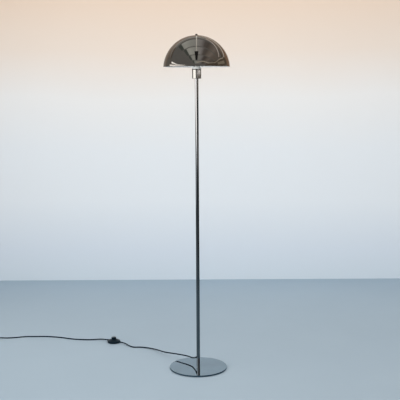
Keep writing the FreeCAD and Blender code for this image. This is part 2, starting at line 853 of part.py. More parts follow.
def make_harp():
    ear_length = dim.harp_ear_reach * 2
    ring = rod("harp_ring_disc", dim.cup_diameter, dim.harp_ring_height, 0, 0, cup_top)
    ears = document.addObject("Part::Box", "harp_ears")
    bind(ears, "Length", ear_length)
    bind(ears, "Width", dim.harp_ear_width)
    bind(ears, "Height", dim.harp_ear_thickness)
    turn_to_harp(ears)
    corner = ears.Placement.Rotation.multVec(point(-ear_length / 2, -dim.harp_ear_width / 2, 0))
    ears.Placement.Base = corner + point(0, 0, cup_top)
    bore_diameter = dim.skirt_diameter + dim.fit_clearance * 2
    holes = [rod("harp_ring_bore", bore_diameter, dim.harp_ring_height, 0, 0, cup_top)]
    for side in (-1, 1):
        hole = rod("harp_foot_hole", dim.harp_wire_diameter + dim.fit_clearance * 2,
                   dim.harp_ear_thickness)
        hole.Placement.Base = harp_leg_points(side)[0]
        holes.append(hole)
    keep("harp_ring", cut_from("harp_ring", joined("harp_ring_blank", [ring, ears]), holes))

    legs = []
    for side in (-1, 1):
        edges, radii = rounded_route(harp_leg_points(side))
        legs.append(tube(edges, dim.harp_wire_diameter))
    print(f"harp_legs: smallest radius {min(radii):.1f}")
    piece = document.addObject("Part::Feature", "harp_legs")
    piece.Shape = Part.makeCompound(legs)
    keep("harp_legs", piece)

    blank = rod("harp_boss_blank", dim.harp_boss_diameter, dim.harp_boss_height, 0, 0, boss_bottom)
    tools = [rod("harp_boss_bore", dim.stud_diameter + dim.turning_clearance * 2,
                 dim.harp_boss_height, 0, 0, boss_bottom)]
    for side in (-1, 1):
        socket = rod("harp_socket", dim.harp_wire_diameter + dim.fit_clearance * 2,
                     dim.harp_shoulder_radius)
        socket.Placement = FreeCAD.Placement(
            harp_leg_points(side)[-1],
            FreeCAD.Rotation(FreeCAD.Vector(0, 0, 1), harp_way(side)))
        tools.append(socket)
    keep("harp_boss", cut_from("harp_boss", blank, tools))

    shank = dim.stud_diameter / 2
    head_top = boss_bottom - dim.moving_gap
    head_bottom = head_top - dim.stud_head_height
    collar = dim.stud_collar_diameter / 2
    collar_bottom = shade_seat - dim.stud_collar_height
    stud_top = shade_top + dim.stud_above_shade
    keep("harp_stud", turned("harp_stud", [
        (0, head_bottom), (dim.stud_head_diameter / 2, head_bottom),
        (dim.stud_head_diameter / 2, head_top), (shank, head_top), (shank, collar_bottom),
        (collar, collar_bottom), (collar, shade_seat), (shank, shade_seat), (shank, stud_top),
        (0, stud_top),
    ]))


# Shade and finial

def make_shade():
    rim = shade_rim
    outer = dim.shade_diameter / 2
    flat = dim.shade_flat_diameter / 2
    hole = dim.stud_diameter / 2 + dim.fit_clearance
    hem_top = rim + dim.shade_hem_height
    # The outer sphere passes through the rim and the edge of the crown's small flat
    drop = dim.shade_height
    below = (outer * outer - flat * flat - drop * drop) / (drop * 2)
    sphere = root(outer * outer + below * below) - dim.shade_thickness
    reach = below + dim.shade_hem_height
    wall_inner = root(sphere * sphere - reach * reach)
    hem_inner = wall_inner - dim.shade_hem_ledge
    shade = turned("shade", [
        (hem_inner, rim),
        (outer, rim),
        (flat, shade_top, "arc"),
        (hole, shade_top),
        (hole, shade_seat),
        (flat, shade_seat),
        (wall_inner, hem_top, "arc"),
        (hem_inner, hem_top),
    ])
    edges = [circle_at(hem_inner, rim), circle_at(outer, rim), circle_at(hem_inner, hem_top)]
    round_edges(shade, dim.shade_hem_round, lambda edge: any(test(edge) for test in edges))
    keep("shade", shade)

    washer_top = shade_top + dim.crown_washer_thickness
    washer = dim.crown_washer_diameter / 2
    keep("crown_washer", turned("crown_washer", [
        (hole, shade_top), (washer, shade_top), (washer, washer_top), (hole, washer_top),
    ]))

    radius = dim.finial_diameter / 2
    finial_top = washer_top + dim.finial_height
    bore_top = washer_top + dim.finial_bore_depth
    keep("finial", turned("finial", [
        (hole, washer_top),
        (radius, washer_top),
        (radius, washer_top + dim.finial_skirt_height),
        (0, finial_top, "arc"),
        (0, bore_top),
        (hole, bore_top),
    ]))


# Bulb

def make_bulb(bottom):
    tip_top = bottom + dim.tip_height
    tip = dim.tip_diameter / 2
    keep("bulb_tip", turned("bulb_tip", [(0, bottom), (tip, bottom), (tip, tip_top), (0, tip_top)]))

    insulator_top = tip_top + dim.insulator_height
    keep("bulb_insulator", turned("bulb_insulator", [
        (0, tip_top), (dim.insulator_bottom_diameter / 2, tip_top),
        (dim.insulator_top_diameter / 2, insulator_top), (0, insulator_top),
    ]))

    crest = dim.cap_crest_diameter / 2
    valley = dim.cap_root_diameter / 2
    inner = valley - dim.cap_wall
    cap_top = insulator_top + dim.cap_height
    floor_top = insulator_top + dim.cap_wall
    outline = [(0, insulator_top), (dim.insulator_top_diameter / 2, insulator_top)]
    ring_bottom = floor_top
    for _ in range(int(dim.cap_thread_rings.value)):
        outline.append((valley, ring_bottom))
        outline.append((crest, ring_bottom + dim.cap_thread_pitch / 2))
        ring_bottom = ring_bottom + dim.cap_thread_pitch
    outline += [(valley, ring_bottom), (valley, cap_top), (inner, cap_top),
                (inner, floor_top), (0, floor_top)]
    keep("bulb_cap", turned("bulb_cap", outline))

    glass_top = bottom + dim.bulb_length
    shoulder = dim.bulb_shoulder_diameter / 2
    shoulder_height = glass_top - dim.bulb_shoulder_depth
    neck = dim.bulb_neck_diameter / 2
    wall = dim.bulb_glass_wall
    neck_bottom = cap_top - dim.bulb_neck_depth
    neck_top = cap_top + dim.bulb_neck_rise
    keep("bulb_glass", turned("bulb_glass", [
        (neck - wall, neck_bottom),
        (neck, neck_bottom),
        (neck, neck_top),
        (shoulder, shoulder_height),
        (0, glass_top, "arc"),
        (0, glass_top - wall),
        (shoulder - wall, shoulder_height, "arc"),
        (neck - wall, neck_top),
    ]))


# Foot switch, made about its own middle and then moved to its place on the floor

def place_switch(thing):
    place(thing, dim.switch_x, dim.switch_y)
    turn(thing, FreeCAD.Rotation(FreeCAD.Vector(0, 0, 1), dim.switch_turn.value))
    return thing


def switch_node(name, thing):
    keep(name, place_switch(thing))


def cord_holes(name, diameter):
    """The two level holes for the boots, cut half into each shell."""
    holes = []
    for side in (-1, 1):
        hole = rod(name, diameter + dim.fit_clearance * 2, dim.switch_diameter / 2,
                   dim.boot_inner_radius * side, 0, dim.switch_seam_height)
        lay_along_x(hole, side)
        holes.append(hole)
    return holes


def make_switch_shells():
    radius = dim.switch_diameter / 2
    inner = radius - dim.switch_wall
    bottom = dim.switch_foot_height
    floor_top = bottom + dim.switch_wall
    seam = dim.switch_seam_height
    belly_top = bottom + dim.switch_belly_rise
    post = dim.spring_post_diameter / 2
    shell = turned("switch_base_shell", [
        (0, bottom), (radius - dim.switch_wall, bottom), (radius, belly_top), (radius, seam),
        (inner, seam), (inner, belly_top), (inner - dim.switch_wall, floor_top),
        (post, floor_top), (post, floor_top + dim.spring_post_height),
        (0, floor_top + dim.spring_post_height),
    ])
    bosses, holes, screws, cover_bosses, cover_holes = [], [], [], [], []
    head_top = bottom + dim.housing_screw_head_height
    clear = dim.fit_clearance * 2
    for side in (-1, 1):
        y = dim.housing_screw_radius * side
        bosses.append(rod("base_boss", dim.housing_boss_diameter, seam - bottom, 0, y, bottom))
        holes.append(rod("base_screw_hole", dim.housing_screw_diameter + clear, seam - bottom,
                         0, y, bottom))
        holes.append(rod("base_head_hole", dim.housing_screw_head_diameter + clear,
                         dim.housing_screw_head_height, 0, y, bottom))
        shank = rod("housing_shank", dim.housing_screw_diameter, dim.housing_screw_length,
                    0, y, head_top)
        head = rod("housing_head", dim.housing_screw_head_diameter,
                   dim.housing_screw_head_height - dim.moving_gap, 0, y, bottom + dim.moving_gap)
        screws.append(joined("housing_screw", [shank, head]))
        cover_bosses.append(rod("cover_boss", dim.housing_boss_diameter,
                                dim.switch_top_height - dim.switch_seam_height, 0, y, seam))
        cover_holes.append(rod("cover_screw_hole", dim.housing_screw_diameter + clear,
                               head_top + dim.housing_screw_length + dim.moving_gap - seam,
                               0, y, seam))
    base = cut_from("switch_base", joined("switch_base_blank", [shell] + bosses),
                    holes + cord_holes("base_boot_hole", dim.boot_diameter))
    switch_node("switch_base", base)
    switch_node("switch_housing_screws", together("switch_housing_screws", screws))

    collar_inner = dim.button_diameter / 2 + dim.moving_gap
    collar_outer = collar_inner + dim.switch_collar_wall
    top = dim.switch_top_height
    edge_top = seam + dim.switch_edge_rise
    outer_side = [(radius, seam), (radius, edge_top), (collar_outer, top, "arc")]
    cover = turned("switch_cover_shell", [(inner, seam)] + outer_side + [
        (collar_outer, top + dim.switch_collar_height),
        (collar_inner, top + dim.switch_collar_height),
        (collar_inner, top - dim.switch_wall),
        (inner, edge_top - dim.switch_wall / 2, "arc"),
    ])
    filled = turned("switch_cover_filled", outer_side + [(0, top), (0, seam)])
    trimmed = document.addObject("Part::MultiCommon", "switch_cover_bosses")
    trimmed.Shapes = [joined("switch_cover_posts", cover_bosses), filled]
    cover = cut_from("switch_cover", joined("switch_cover_blank", [cover, trimmed]),
                     cover_holes + cord_holes("cover_boot_hole", dim.boot_diameter))
    switch_node("switch_cover", cover)

    feet = []
    for quarter in range(4):
        angle = math.radians(FULL_TURN / 8 + FULL_TURN / 4 * quarter)
        feet.append(rod("switch_foot", dim.switch_foot_diameter, dim.switch_foot_height,
                        dim.switch_foot_radius * math.cos(angle),
                        dim.switch_foot_radius * math.sin(angle)))
    switch_node("switch_feet", together("switch_feet", feet))


def make_switch_button():
    """The button, its contact ring and its spring. The flange holds the button in."""
    radius = dim.button_diameter / 2
    inner = radius - dim.button_wall
    top = dim.button_top_height
    crown = top - dim.button_crown
    roof = crown - dim.button_roof
    flange = radius + dim.button_flange_width
    flange_top = dim.switch_top_height - dim.switch_wall - dim.moving_gap * 2
    flange_bottom = flange_top - dim.button_flange_height
    post = dim.button_post_diameter / 2
    button = turned("switch_button", [
        (0, roof - dim.button_post_length), (post, roof - dim.button_post_length), (post, roof),
        (inner, roof), (inner, flange_bottom), (flange, flange_bottom), (flange, flange_top),
        (radius, flange_top), (radius, crown), (0, top, "arc"),
    ])
    round_edges(button, dim.button_edge_round, circle_at(radius, crown))
    switch_node("switch_button", button)

    ring_outer = flange
    ring_inner = flange - dim.contact_ring_width
    ring_bottom = flange_bottom - dim.contact_ring_thickness
    ring = turned("switch_contact_ring", [
        (ring_inner, ring_bottom), (ring_outer, ring_bottom), (ring_outer, flange_bottom),
        (ring_inner, flange_bottom),
    ])
    switch_node("switch_contact_ring", ring)

    floor_top = dim.switch_foot_height + dim.switch_wall
    wire = dim.spring_wire_diameter
    low = (floor_top + wire / 2).value
    high = (roof - wire / 2).value
    coil_radius = dim.spring_diameter.value / 2
    turns = dim.spring_turns.value
    spans = int(turns * 4)

    def spring_point(share):
        angle = 2 * math.pi * turns * share
        return FreeCAD.Vector(coil_radius * math.cos(angle), coil_radius * math.sin(angle),
                              low + (high - low) * share)

    def spring_way(share):
        angle = 2 * math.pi * turns * share
        way = FreeCAD.Vector(-coil_radius * math.sin(angle), coil_radius * math.cos(angle),
                             (high - low) / (2 * math.pi * turns))
        return way.normalize()

    edges = []
    for span in range(spans):
        first, last = span / spans, (span + 1) / spans
        edges += biarc(spring_point(first), spring_way(first), spring_point(last), spring_way(last))
    place_switch(tube_node("switch_spring", edges, wire))
    return ring_bottom


def make_switch_terminals(ring_bottom):
    """Two L-shaped contacts, each with the screw that holds its conductor."""
    floor_top = dim.switch_foot_height + dim.switch_wall
    contact_top = ring_bottom - dim.button_travel - dim.moving_gap
    length = dim.switch_terminal_reach - dim.contact_arm_radius
    head_bottom = floor_top + dim.switch_terminal_height
    contacts, screws = [], []
    for side in (-1, 1):
        middle = (dim.switch_terminal_reach + dim.contact_arm_radius) * side / 2
        foot = block("terminal_foot", dim.switch_terminal_width, length,
                     dim.switch_terminal_height, 0, middle, floor_top)
        arm_middle = (dim.contact_arm_radius + dim.contact_arm_width / 2) * side
        arm = block("terminal_arm", dim.switch_terminal_width, dim.contact_arm_width,
                    contact_top - floor_top, 0, arm_middle, floor_top)
        y = dim.switch_terminal_screw_radius * side
        hole = rod("switch_terminal_hole", dim.terminal_screw_diameter + dim.fit_clearance * 2,
                   dim.switch_terminal_height, 0, y, floor_top)
        contacts.append(cut_from("switch_contact", joined("contact_blank", [foot, arm]), [hole]))
        shank = rod("switch_terminal_shank", dim.terminal_screw_diameter,
                    dim.switch_terminal_height - dim.moving_gap, 0, y, floor_top + dim.moving_gap)
        head = rod("switch_terminal_head", dim.switch_terminal_head_diameter,
                   dim.switch_terminal_head_height, 0, y, head_bottom)
        screws.append(joined("switch_terminal_screw", [shank, head]))
    switch_node("switch_terminals", together("switch_terminals", contacts))
    switch_node("switch_terminal_screws", together("switch_terminal_screws", screws))


def make_switch_cords():
    """The cord's two ends inside the switch, their tapered boots and their conductors."""
    seam = dim.switch_seam_height
    bore = dim.cord_diameter / 2 + dim.fit_clearance
    tails = []
    for side, name in ((-1, "switch_boot_lamp_side"), (1, "switch_boot_plug_side")):
        boot = turned(name, [
            (bore, dim.boot_inner_radius), (dim.boot_diameter / 2, dim.boot_inner_radius),
            (dim.boot_diameter / 2, dim.boot_waist_radius),
            (dim.boot_tip_diameter / 2, dim.boot_outer_radius), (bore, dim.boot_outer_radius),
        ])
        place(boot, 0, 0, seam)
        lay_along_x(boot, side)
        boot.Placement = switch_placement().multiply(boot.Placement)
        keep(name, boot)
        tail = rod("cord_tail", dim.cord_diameter, dim.boot_outer_radius - dim.cord_tail_radius,
                   dim.cord_tail_radius * side, 0, seam)
        lay_along_x(tail, side)
        tails.append(tail)
    switch_node("switch_cord_ends", together("switch_cord_ends", tails))

    wire = dim.conductor_diameter
    beside = dim.conductor_spacing / 2
    start = dim.cord_tail_radius
    turn_in = start - dim.conductor_lead
    low = dim.switch_foot_height + dim.switch_wall + wire
    aside = dim.spring_diameter / 2 + wire
    terminal_side = dim.switch_terminal_width / 2
    terminal_y = (dim.contact_arm_radius + dim.switch_terminal_reach) / 2 + dim.contact_arm_width / 2
    shapes = []
    for side in (-1, 1):
        edges, _ = rounded_route([
            point(start * side, beside * side, seam),
            point(turn_in * side, beside * side, seam),
            point((terminal_side + dim.conductor_end_run) * side, terminal_y * side, low),
            point(terminal_side * side, terminal_y * side, low),
        ])
        shapes.append(tube(edges, wire))
    edges, _ = rounded_route([
        point(start, -beside, seam),
        point(turn_in, -beside, seam),
        point(aside, -aside, low),
        point(-aside, -aside, low),
        point(-turn_in, beside, seam),
        point(-start, beside, seam),
    ])
    shapes.append(tube(edges, wire))
    piece = document.addObject("Part::Feature", "switch_wires")
    piece.Shape = Part.makeCompound(shapes)
    switch_node("switch_wires", piece)


def switch_placement():
    return FreeCAD.Placement(point(dim.switch_x, dim.switch_y, 0),
                             FreeCAD.Rotation(FreeCAD.Vector(0, 0, 1), dim.switch_turn.value))


def switch_end(side):
    """Where the free cord meets a boot, and the level direction away from the switch."""
    placement = switch_placement()
    end = placement.multVec(point(dim.boot_outer_radius * side, 0, dim.switch_seam_height))
    return end, placement.Rotation.multVec(FreeCAD.Vector(side, 0, 0))


# Free cord. The points between its ends are chosen by hand from the way it lies.

ROUTE_TO_SWITCH = [
    (-47.0, 82.0, 29.0),
    (-81.0, 109.0, 28.0),
    (-130.0, 147.0, 23.5),
    (-165.0, 178.0, 18.5),
    (-204.0, 238.0, 11.5),
    (-226.0, 270.0, 7.0),
    (-253.0, 296.0, 3.6),
    (-292.0, 314.0, 3.0),
    (-333.0, 310.0, 3.0),
    (-357.0, 334.0, 5.0),
]
ROUTE_TO_COIL = [
    (-529.0, 446.0, 4.6),
    (-567.0, 443.0, 3.0),
    (-607.0, 447.0, 3.0),
    (-647.0, 453.0, 3.0),
    (-684.0, 467.0, 3.0),
    (-726.0, 487.0, 3.0),
    (-769.0, 499.0, 3.0),
    (-818.0, 508.0, 3.0),
    (-868.0, 505.0, 3.0),
    (-917.0, 508.0, 3.0),
    (-967.0, 488.0, 3.0),
    (-1010.0, 481.0, 3.0),
    (-1044.0, 484.5, 3.8),
]
ROUTE_TO_PLUG = [
    (-1153.4, 398.0, 9.4),
]
FIRST_RUN = 30.0
SWITCH_RUN = 24.0
COIL_RUN = 25.0
PLUG_RUN = 14.0


def coil_layer_height(layer):
    return (dim.tie_thickness + dim.tie_gap + dim.cord_diameter / 2).value + dim.coil_pitch.value * layer


def coil_point(turns):
    """A point of the coil: it spirals in, climbs a layer as it turns back, and spirals out."""
    total = dim.coil_turns.value
    pitch = dim.coil_pitch.value
    outer = dim.coil_middle_diameter.value / 2 + pitch * total / 4
    radius = outer - pitch * min(turns, total - turns)
    climb_share = min(max((turns - total / 2) * 2 + 0.5, 0.0), 1.0)
    height = coil_layer_height(climb_share ** 2 * (3 - 2 * climb_share))
    angle = math.pi / 2 + 2 * math.pi * turns
    return FreeCAD.Vector(dim.coil_x.value + radius * math.cos(angle),
                          dim.coil_y.value + radius * math.sin(angle), height)


def coil_way(turns):
    step_share = 1e-4
    total = dim.coil_turns.value
    before = coil_point(max(turns - step_share, 0.0))
    after = coil_point(min(turns + step_share, total))
    return (after - before).normalize()


def coil_ends():
    """Start and end of the coil's solid, each one cord diameter straight out of its turns."""
    total = dim.coil_turns.value
    reach = dim.cord_diameter.value
    start = coil_point(0.0) - coil_way(0.0) * reach
    end = coil_point(total) + coil_way(total) * reach
    return start, coil_way(0.0), end, coil_way(total)


def make_coil():
    total = dim.coil_turns.value
    start, _, end, _ = coil_ends()
    spans = 2 * math.ceil(total / 2 * 4)
    stops = [total * span / spans for span in range(spans + 1)]
    edges = [Part.LineSegment(start, coil_point(0.0)).toShape()]
    for first, last in zip(stops, stops[1:]):
        edges += biarc(coil_point(first), coil_way(first), coil_point(last), coil_way(last))
    edges.append(Part.LineSegment(coil_point(total), end).toShape())
    tube_node("cord_coil", edges, dim.cord_diameter)
    samples_per_turn = 48
    count = int(total * samples_per_turn)
    points = [coil_point(total * number / count) for number in range(count + 1)]
    gap = least_gap(points, dim.cord_diameter, samples_per_turn // 2)
    print(f"cord_coil: {total} turns, least gap {gap:.2f}")


def make_tie():
    """A flat band round the coil, at its side towards the lamp."""
    total = dim.coil_turns
    outer = dim.coil_middle_diameter / 2 + dim.coil_pitch * total / 4 + dim.cord_diameter / 2
    inner = outer - dim.coil_pitch * total / 2 - dim.cord_diameter - dim.tie_thickness
    length = outer - inner + dim.tie_gap * 2
    height = dim.cord_diameter + dim.coil_pitch + dim.tie_gap * 2
    x = dim.coil_x + (outer + inner) / 2
    wall = dim.tie_thickness
    outside = block("tie_outside", length + wall * 2, dim.tie_width, height + wall * 2,
                    x, dim.coil_y)
    inside = block("tie_inside", length, dim.tie_width, height, x, dim.coil_y, wall)
    keep("cord_tie", cut_from("cord_tie", outside, [inside]))


def plug_frame():
    """Where the plug's relief starts, and the level direction towards the pins."""
    start = point(dim.coil_x - dim.plug_sideways, dim.coil_y - dim.plug_distance,
                  dim.plug_thickness / 2)
    return start, FreeCAD.Vector(0, -1, 0)


def make_plug():
    start, way = plug_frame()
    x = dim.coil_x - dim.plug_sideways
    relief_end_y = dim.coil_y - dim.plug_distance - dim.plug_relief_length
    face_y = relief_end_y - dim.plug_body_length
    relief = turned("plug_relief", [
        (0, 0), (dim.plug_relief_tip_diameter / 2, 0),
        (dim.plug_relief_diameter / 2, dim.plug_relief_length), (0, dim.plug_relief_length),
    ])
    relief.Placement = FreeCAD.Placement(start, FreeCAD.Rotation(FreeCAD.Vector(0, 0, 1), way))
    keep("plug_relief", relief)

    length = dim.plug_body_length
    shoulder = length - dim.plug_shoulder_length
    half_tail = dim.plug_tail_width / 2
    half_body = dim.plug_body_width / 2
    half_face = dim.plug_face_width / 2
    blank = padded("plug_blank", [
        (half_tail, 0), (half_body, dim.plug_flare_length), (half_body, shoulder),
        (half_face, length), (-half_face, length), (-half_body, shoulder),
        (-half_body, dim.plug_flare_length), (-half_tail, 0),
    ], dim.plug_thickness)
    round_edges(blank, dim.plug_edge_round, lambda edge: True)
    turn(blank, FreeCAD.Rotation(FreeCAD.Vector(0, 0, 1), FULL_TURN / 2))
    place(blank, x, relief_end_y)
    neck = dim.pin_neck_diameter / 2
    tip = dim.pin_diameter / 2
    bore = neck + dim.fit_clearance
    pins, sleeves, holes = [], [], []
    for side in (-1, 1):
        pin = turned("plug_pin", [
            (0, -dim.pin_depth), (neck, -dim.pin_depth), (neck, dim.pin_sleeve_length),
            (tip, dim.pin_sleeve_length), (tip, dim.pin_length), (0, dim.pin_length),
        ])
        round_edges(pin, dim.pin_tip_round, circle_at(tip, dim.pin_length))
        sleeve = turned("plug_sleeve", [
            (bore, 0), (dim.pin_sleeve_diameter / 2, 0),
            (dim.pin_sleeve_diameter / 2, dim.pin_sleeve_length), (bore, dim.pin_sleeve_length),
        ])
        hole = turned("pin_hole", [(0, -dim.pin_depth), (bore, -dim.pin_depth), (bore, 0), (0, 0)])
        for part, group in ((pin, pins), (sleeve, sleeves), (hole, holes)):
            part.Placement = FreeCAD.Placement(
                point(x + dim.pin_pitch * side / 2, face_y, dim.plug_thickness / 2),
                FreeCAD.Rotation(FreeCAD.Vector(0, 0, 1), way))
            group.append(part)
    keep("plug_body", cut_from("plug_body", blank, holes))
    keep("plug_pins", together("plug_pins", pins))
    keep("plug_sleeves", together("plug_sleeves", sleeves))


def make_cords():
    start, way = outlet_end()
    switch_in, in_way = switch_end(-1)
    points = [start, start + way * FIRST_RUN]
    points += [FreeCAD.Vector(*place) for place in ROUTE_TO_SWITCH]
    points += [switch_in + in_way * SWITCH_RUN, switch_in]
    edges, radii = rounded_route(points)
    tube_node("cord_to_switch", edges, dim.cord_diameter, radii)
    print_route("cord_to_switch", points, radii)

    switch_out, out_way = switch_end(1)
    coil_start, coil_start_way, coil_end, coil_end_way = coil_ends()
    points = [switch_out, switch_out + out_way * SWITCH_RUN]
    points += [FreeCAD.Vector(*place) for place in ROUTE_TO_COIL]
    points += [coil_start - coil_start_way * COIL_RUN, coil_start]
    edges, radii = rounded_route(points)
    tube_node("cord_to_coil", edges, dim.cord_diameter, radii)
    print_route("cord_to_coil", points, radii)

    plug_start, plug_way = plug_frame()
    points = [coil_end, coil_end + coil_end_way * PLUG_RUN]
    points += [FreeCAD.Vector(*place) for place in ROUTE_TO_PLUG]
    points += [plug_start - plug_way * PLUG_RUN, plug_start]
    edges, radii = rounded_route(points)
    tube_node("cord_to_plug", edges, dim.cord_diameter, radii)
    print_route("cord_to_plug", points, radii)


def print_route(name, points, radii):
    runs = [round((after - before).Length) for before, after in zip(points, points[1:])]
    print(f"{name}: runs {runs}")
    print(f"{name}: radii {[round(radius) for radius in radii]}")


make_base()
make_pole()
make_outlet_bush()
make_pole_cable()
make_cup()
contact_height = make_lampholder()
make_holder_wires()
make_harp()
make_shade()
make_bulb(contact_height)
make_switch_shells()
make_switch_terminals(make_switch_button())
make_switch_cords()
make_coil()
make_tie()
make_plug()
make_cords()
document.recompute()

# Nothing is written unless every object and every sub-part is sound
for thing in document.Objects:
    if "Invalid" in thing.State or "Error" in thing.State:
        raise RuntimeError(f"{thing.Label} failed: {thing.State}")
for name, thing in nodes.items():
    shape = thing.Shape
    if shape.isNull() or not shape.isValid() or shape.Volume <= 0:
        raise RuntimeError(f"{name} has no sound shape")

os.makedirs("parts", exist_ok=True)
for name, thing in nodes.items():
    thing.Shape.exportStep(f"parts/{name}.step")
print(f"{len(nodes)} sub-parts written")
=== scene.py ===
import math

import bpy
from mathutils import Matrix, Quaternion, Vector


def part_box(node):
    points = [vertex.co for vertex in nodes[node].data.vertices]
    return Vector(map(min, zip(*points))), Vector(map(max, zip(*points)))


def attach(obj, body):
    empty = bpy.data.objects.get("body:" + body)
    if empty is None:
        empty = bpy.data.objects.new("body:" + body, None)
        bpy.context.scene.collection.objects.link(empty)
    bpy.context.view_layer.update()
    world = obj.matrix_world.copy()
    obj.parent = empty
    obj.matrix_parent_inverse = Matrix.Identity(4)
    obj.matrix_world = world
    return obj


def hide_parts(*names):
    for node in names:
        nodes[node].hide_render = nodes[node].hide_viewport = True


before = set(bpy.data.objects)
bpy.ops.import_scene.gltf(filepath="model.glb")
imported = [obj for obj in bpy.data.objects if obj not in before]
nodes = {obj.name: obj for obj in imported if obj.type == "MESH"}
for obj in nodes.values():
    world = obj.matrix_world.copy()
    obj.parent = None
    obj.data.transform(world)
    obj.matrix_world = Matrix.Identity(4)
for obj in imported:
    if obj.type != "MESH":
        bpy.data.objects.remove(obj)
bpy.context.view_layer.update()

# Bodies that the pieces ride on
LAMP = "lamp"
SHADE = "shade_body"

MM = 0.001
QUARTER_TURN = math.pi / 2
HALF_TURN = math.pi
FULL_TURN = 2 * math.pi
WHITE = (1.0, 1.0, 1.0)


# Camera

PHOTO_PIXELS = 400
FOCAL_PIXELS = 850
SENSOR_WIDTH = 36.0
NEAREST, FARTHEST = 0.05, 60.0
CAMERA_PLACE = (0.012, -3.871, 1.3265)
CAMERA_PITCH = math.radians(7.762)
CAMERA_ROLL = 0.0054


def make_camera():
    data = bpy.data.cameras.new("camera")
    data.sensor_width = SENSOR_WIDTH
    data.lens = SENSOR_WIDTH * FOCAL_PIXELS / PHOTO_PIXELS
    data.clip_start = NEAREST
    data.clip_end = FARTHEST
    camera = bpy.data.objects.new("camera", data)
    bpy.context.scene.collection.objects.link(camera)
    aim = Matrix.Rotation(QUARTER_TURN - CAMERA_PITCH, 4, "X")
    roll = Matrix.Rotation(-CAMERA_ROLL, 4, "Z")
    camera.matrix_world = Matrix.Translation(CAMERA_PLACE) @ aim @ roll
    bpy.context.scene.camera = camera


make_camera()


# Material building blocks

# Colour sockets of the mix node, which shares their names among its data types
MIX_FIRST_COLOUR = 6
MIX_SECOND_COLOUR = 7
MIX_COLOUR_OUT = 2


def opaque(colour):
    """A colour with full opacity."""
    return (*colour, 1.0)


def new_material(name, **settings):
    """A material with the constant values set on its shader: socket words joined by underscores."""
    made = bpy.data.materials.new(name)
    made.use_nodes = True
    shader = made.node_tree.nodes["Principled BSDF"]
    for words, value in settings.items():
        shader.inputs[words.replace("_", " ")].default_value = value
    return made, made.node_tree, shader


def add_node(tree, kind, inputs=None, **settings):
    """A node with its settings, and its inputs joined to sockets or set to constants."""
    node = tree.nodes.new(kind)
    for name, value in settings.items():
        setattr(node, name, value)
    for name, value in (inputs or {}).items():
        if isinstance(value, bpy.types.NodeSocket):
            tree.links.new(value, node.inputs[name])
        else:
            node.inputs[name].default_value = value
    return node


def coordinates(tree, scale=(1.0, 1.0, 1.0)):
    """The piece's own coordinates, stretched by scale."""
    place = add_node(tree, "ShaderNodeTexCoord").outputs["Object"]
    mapping = add_node(tree, "ShaderNodeMapping", {"Vector": place, "Scale": scale})
    return mapping.outputs["Vector"]


def noise(tree, vector, scale, detail=3.0, roughness=0.5):
    inputs = {"Vector": vector, "Scale": scale, "Detail": detail, "Roughness": roughness}
    return add_node(tree, "ShaderNodeTexNoise", inputs).outputs["Fac"]


def spread(tree, value, low, high, to_low=0.0, to_high=1.0):
    """A value carried from one range to another, and held at the ends."""
    inputs = {"Value": value, "From Min": low, "From Max": high, "To Min": to_low, "To Max": to_high}
    return add_node(tree, "ShaderNodeMapRange", inputs).outputs["Result"]


def mixed(tree, share, first, second):
    """A colour between two colours."""
    node = add_node(tree, "ShaderNodeMix", {"Factor": share}, data_type="RGBA")
    for socket, value in ((node.inputs[MIX_FIRST_COLOUR], first), (node.inputs[MIX_SECOND_COLOUR], second)):
        if isinstance(value, bpy.types.NodeSocket):
            tree.links.new(value, socket)
        else:
            socket.default_value = value
    return node.outputs[MIX_COLOUR_OUT]


def maths(tree, operation, first, second):
    return add_node(tree, "ShaderNodeMath", {0: first, 1: second}, operation=operation).outputs[0]


def bumped(tree, height, distance, strength, normal=None):
    inputs = {"Height": height, "Distance": distance, "Strength": strength}
    if normal is not None:
        inputs["Normal"] = normal
    return add_node(tree, "ShaderNodeBump", inputs).outputs["Normal"]


def toned(tree, value, start, tones):
    """A colour that follows a value, from (distance past the start, colour) pairs."""
    span = tones[-1][0]
    ramp = add_node(tree, "ShaderNodeValToRGB", {"Fac": spread(tree, value, start, start + span)})
    stops = ramp.color_ramp.elements
    while len(stops) < len(tones):
        stops.new(0.5)
    for stop, (distance, tone) in zip(stops, tones):
        stop.position = distance / span
        stop.color = opaque(tone)
    return ramp.outputs["Color"]


def join(tree, value, shader, socket):
    tree.links.new(value, shader.inputs[socket])


def dress(node_names, material):
    """Give CAD nodes a material of the scene's own."""
    for name in node_names:
        slots = nodes[name].data.materials
        slots.clear()
        slots.append(material)


# Metals

def dark_mirror(name, tint, smudge_scale, stretch=(1.0, 1.0, 1.0), wave=0.0, rings=0.0):
    """Polished black nickel: near-black mirror with faint smudges, and rings where it was spun."""
    made, tree, shader = new_material(name, Metallic=1.0)
    place = coordinates(tree, stretch)
    cloud = noise(tree, place, smudge_scale, 4.0, 0.6)
    dark = opaque(part * 0.9 for part in tint)
    light = opaque(part * 1.1 for part in tint)
    join(tree, mixed(tree, spread(tree, cloud, 0.3, 0.7), dark, light), shader, "Base Color")
    fine = noise(tree, place, smudge_scale * 30, 3.0, 0.6)
    smudge = maths(tree, "MULTIPLY", cloud, fine)
    join(tree, spread(tree, smudge, 0.15, 0.45, 0.035, 0.11), shader, "Roughness")
    normal = bumped(tree, noise(tree, place, smudge_scale * 0.6, 1.0), 0.001, wave) if wave else None
    if rings:
        height = add_node(tree, "ShaderNodeSeparateXYZ", {0: place}).outputs["Z"]
        ring = noise(tree, add_node(tree, "ShaderNodeCombineXYZ", {"Z": height}).outputs[0], rings, 2.0)
        normal = bumped(tree, ring, 0.00006, 0.4, normal)
    if normal is not None:
        join(tree, normal, shader, "Normal")
    return made


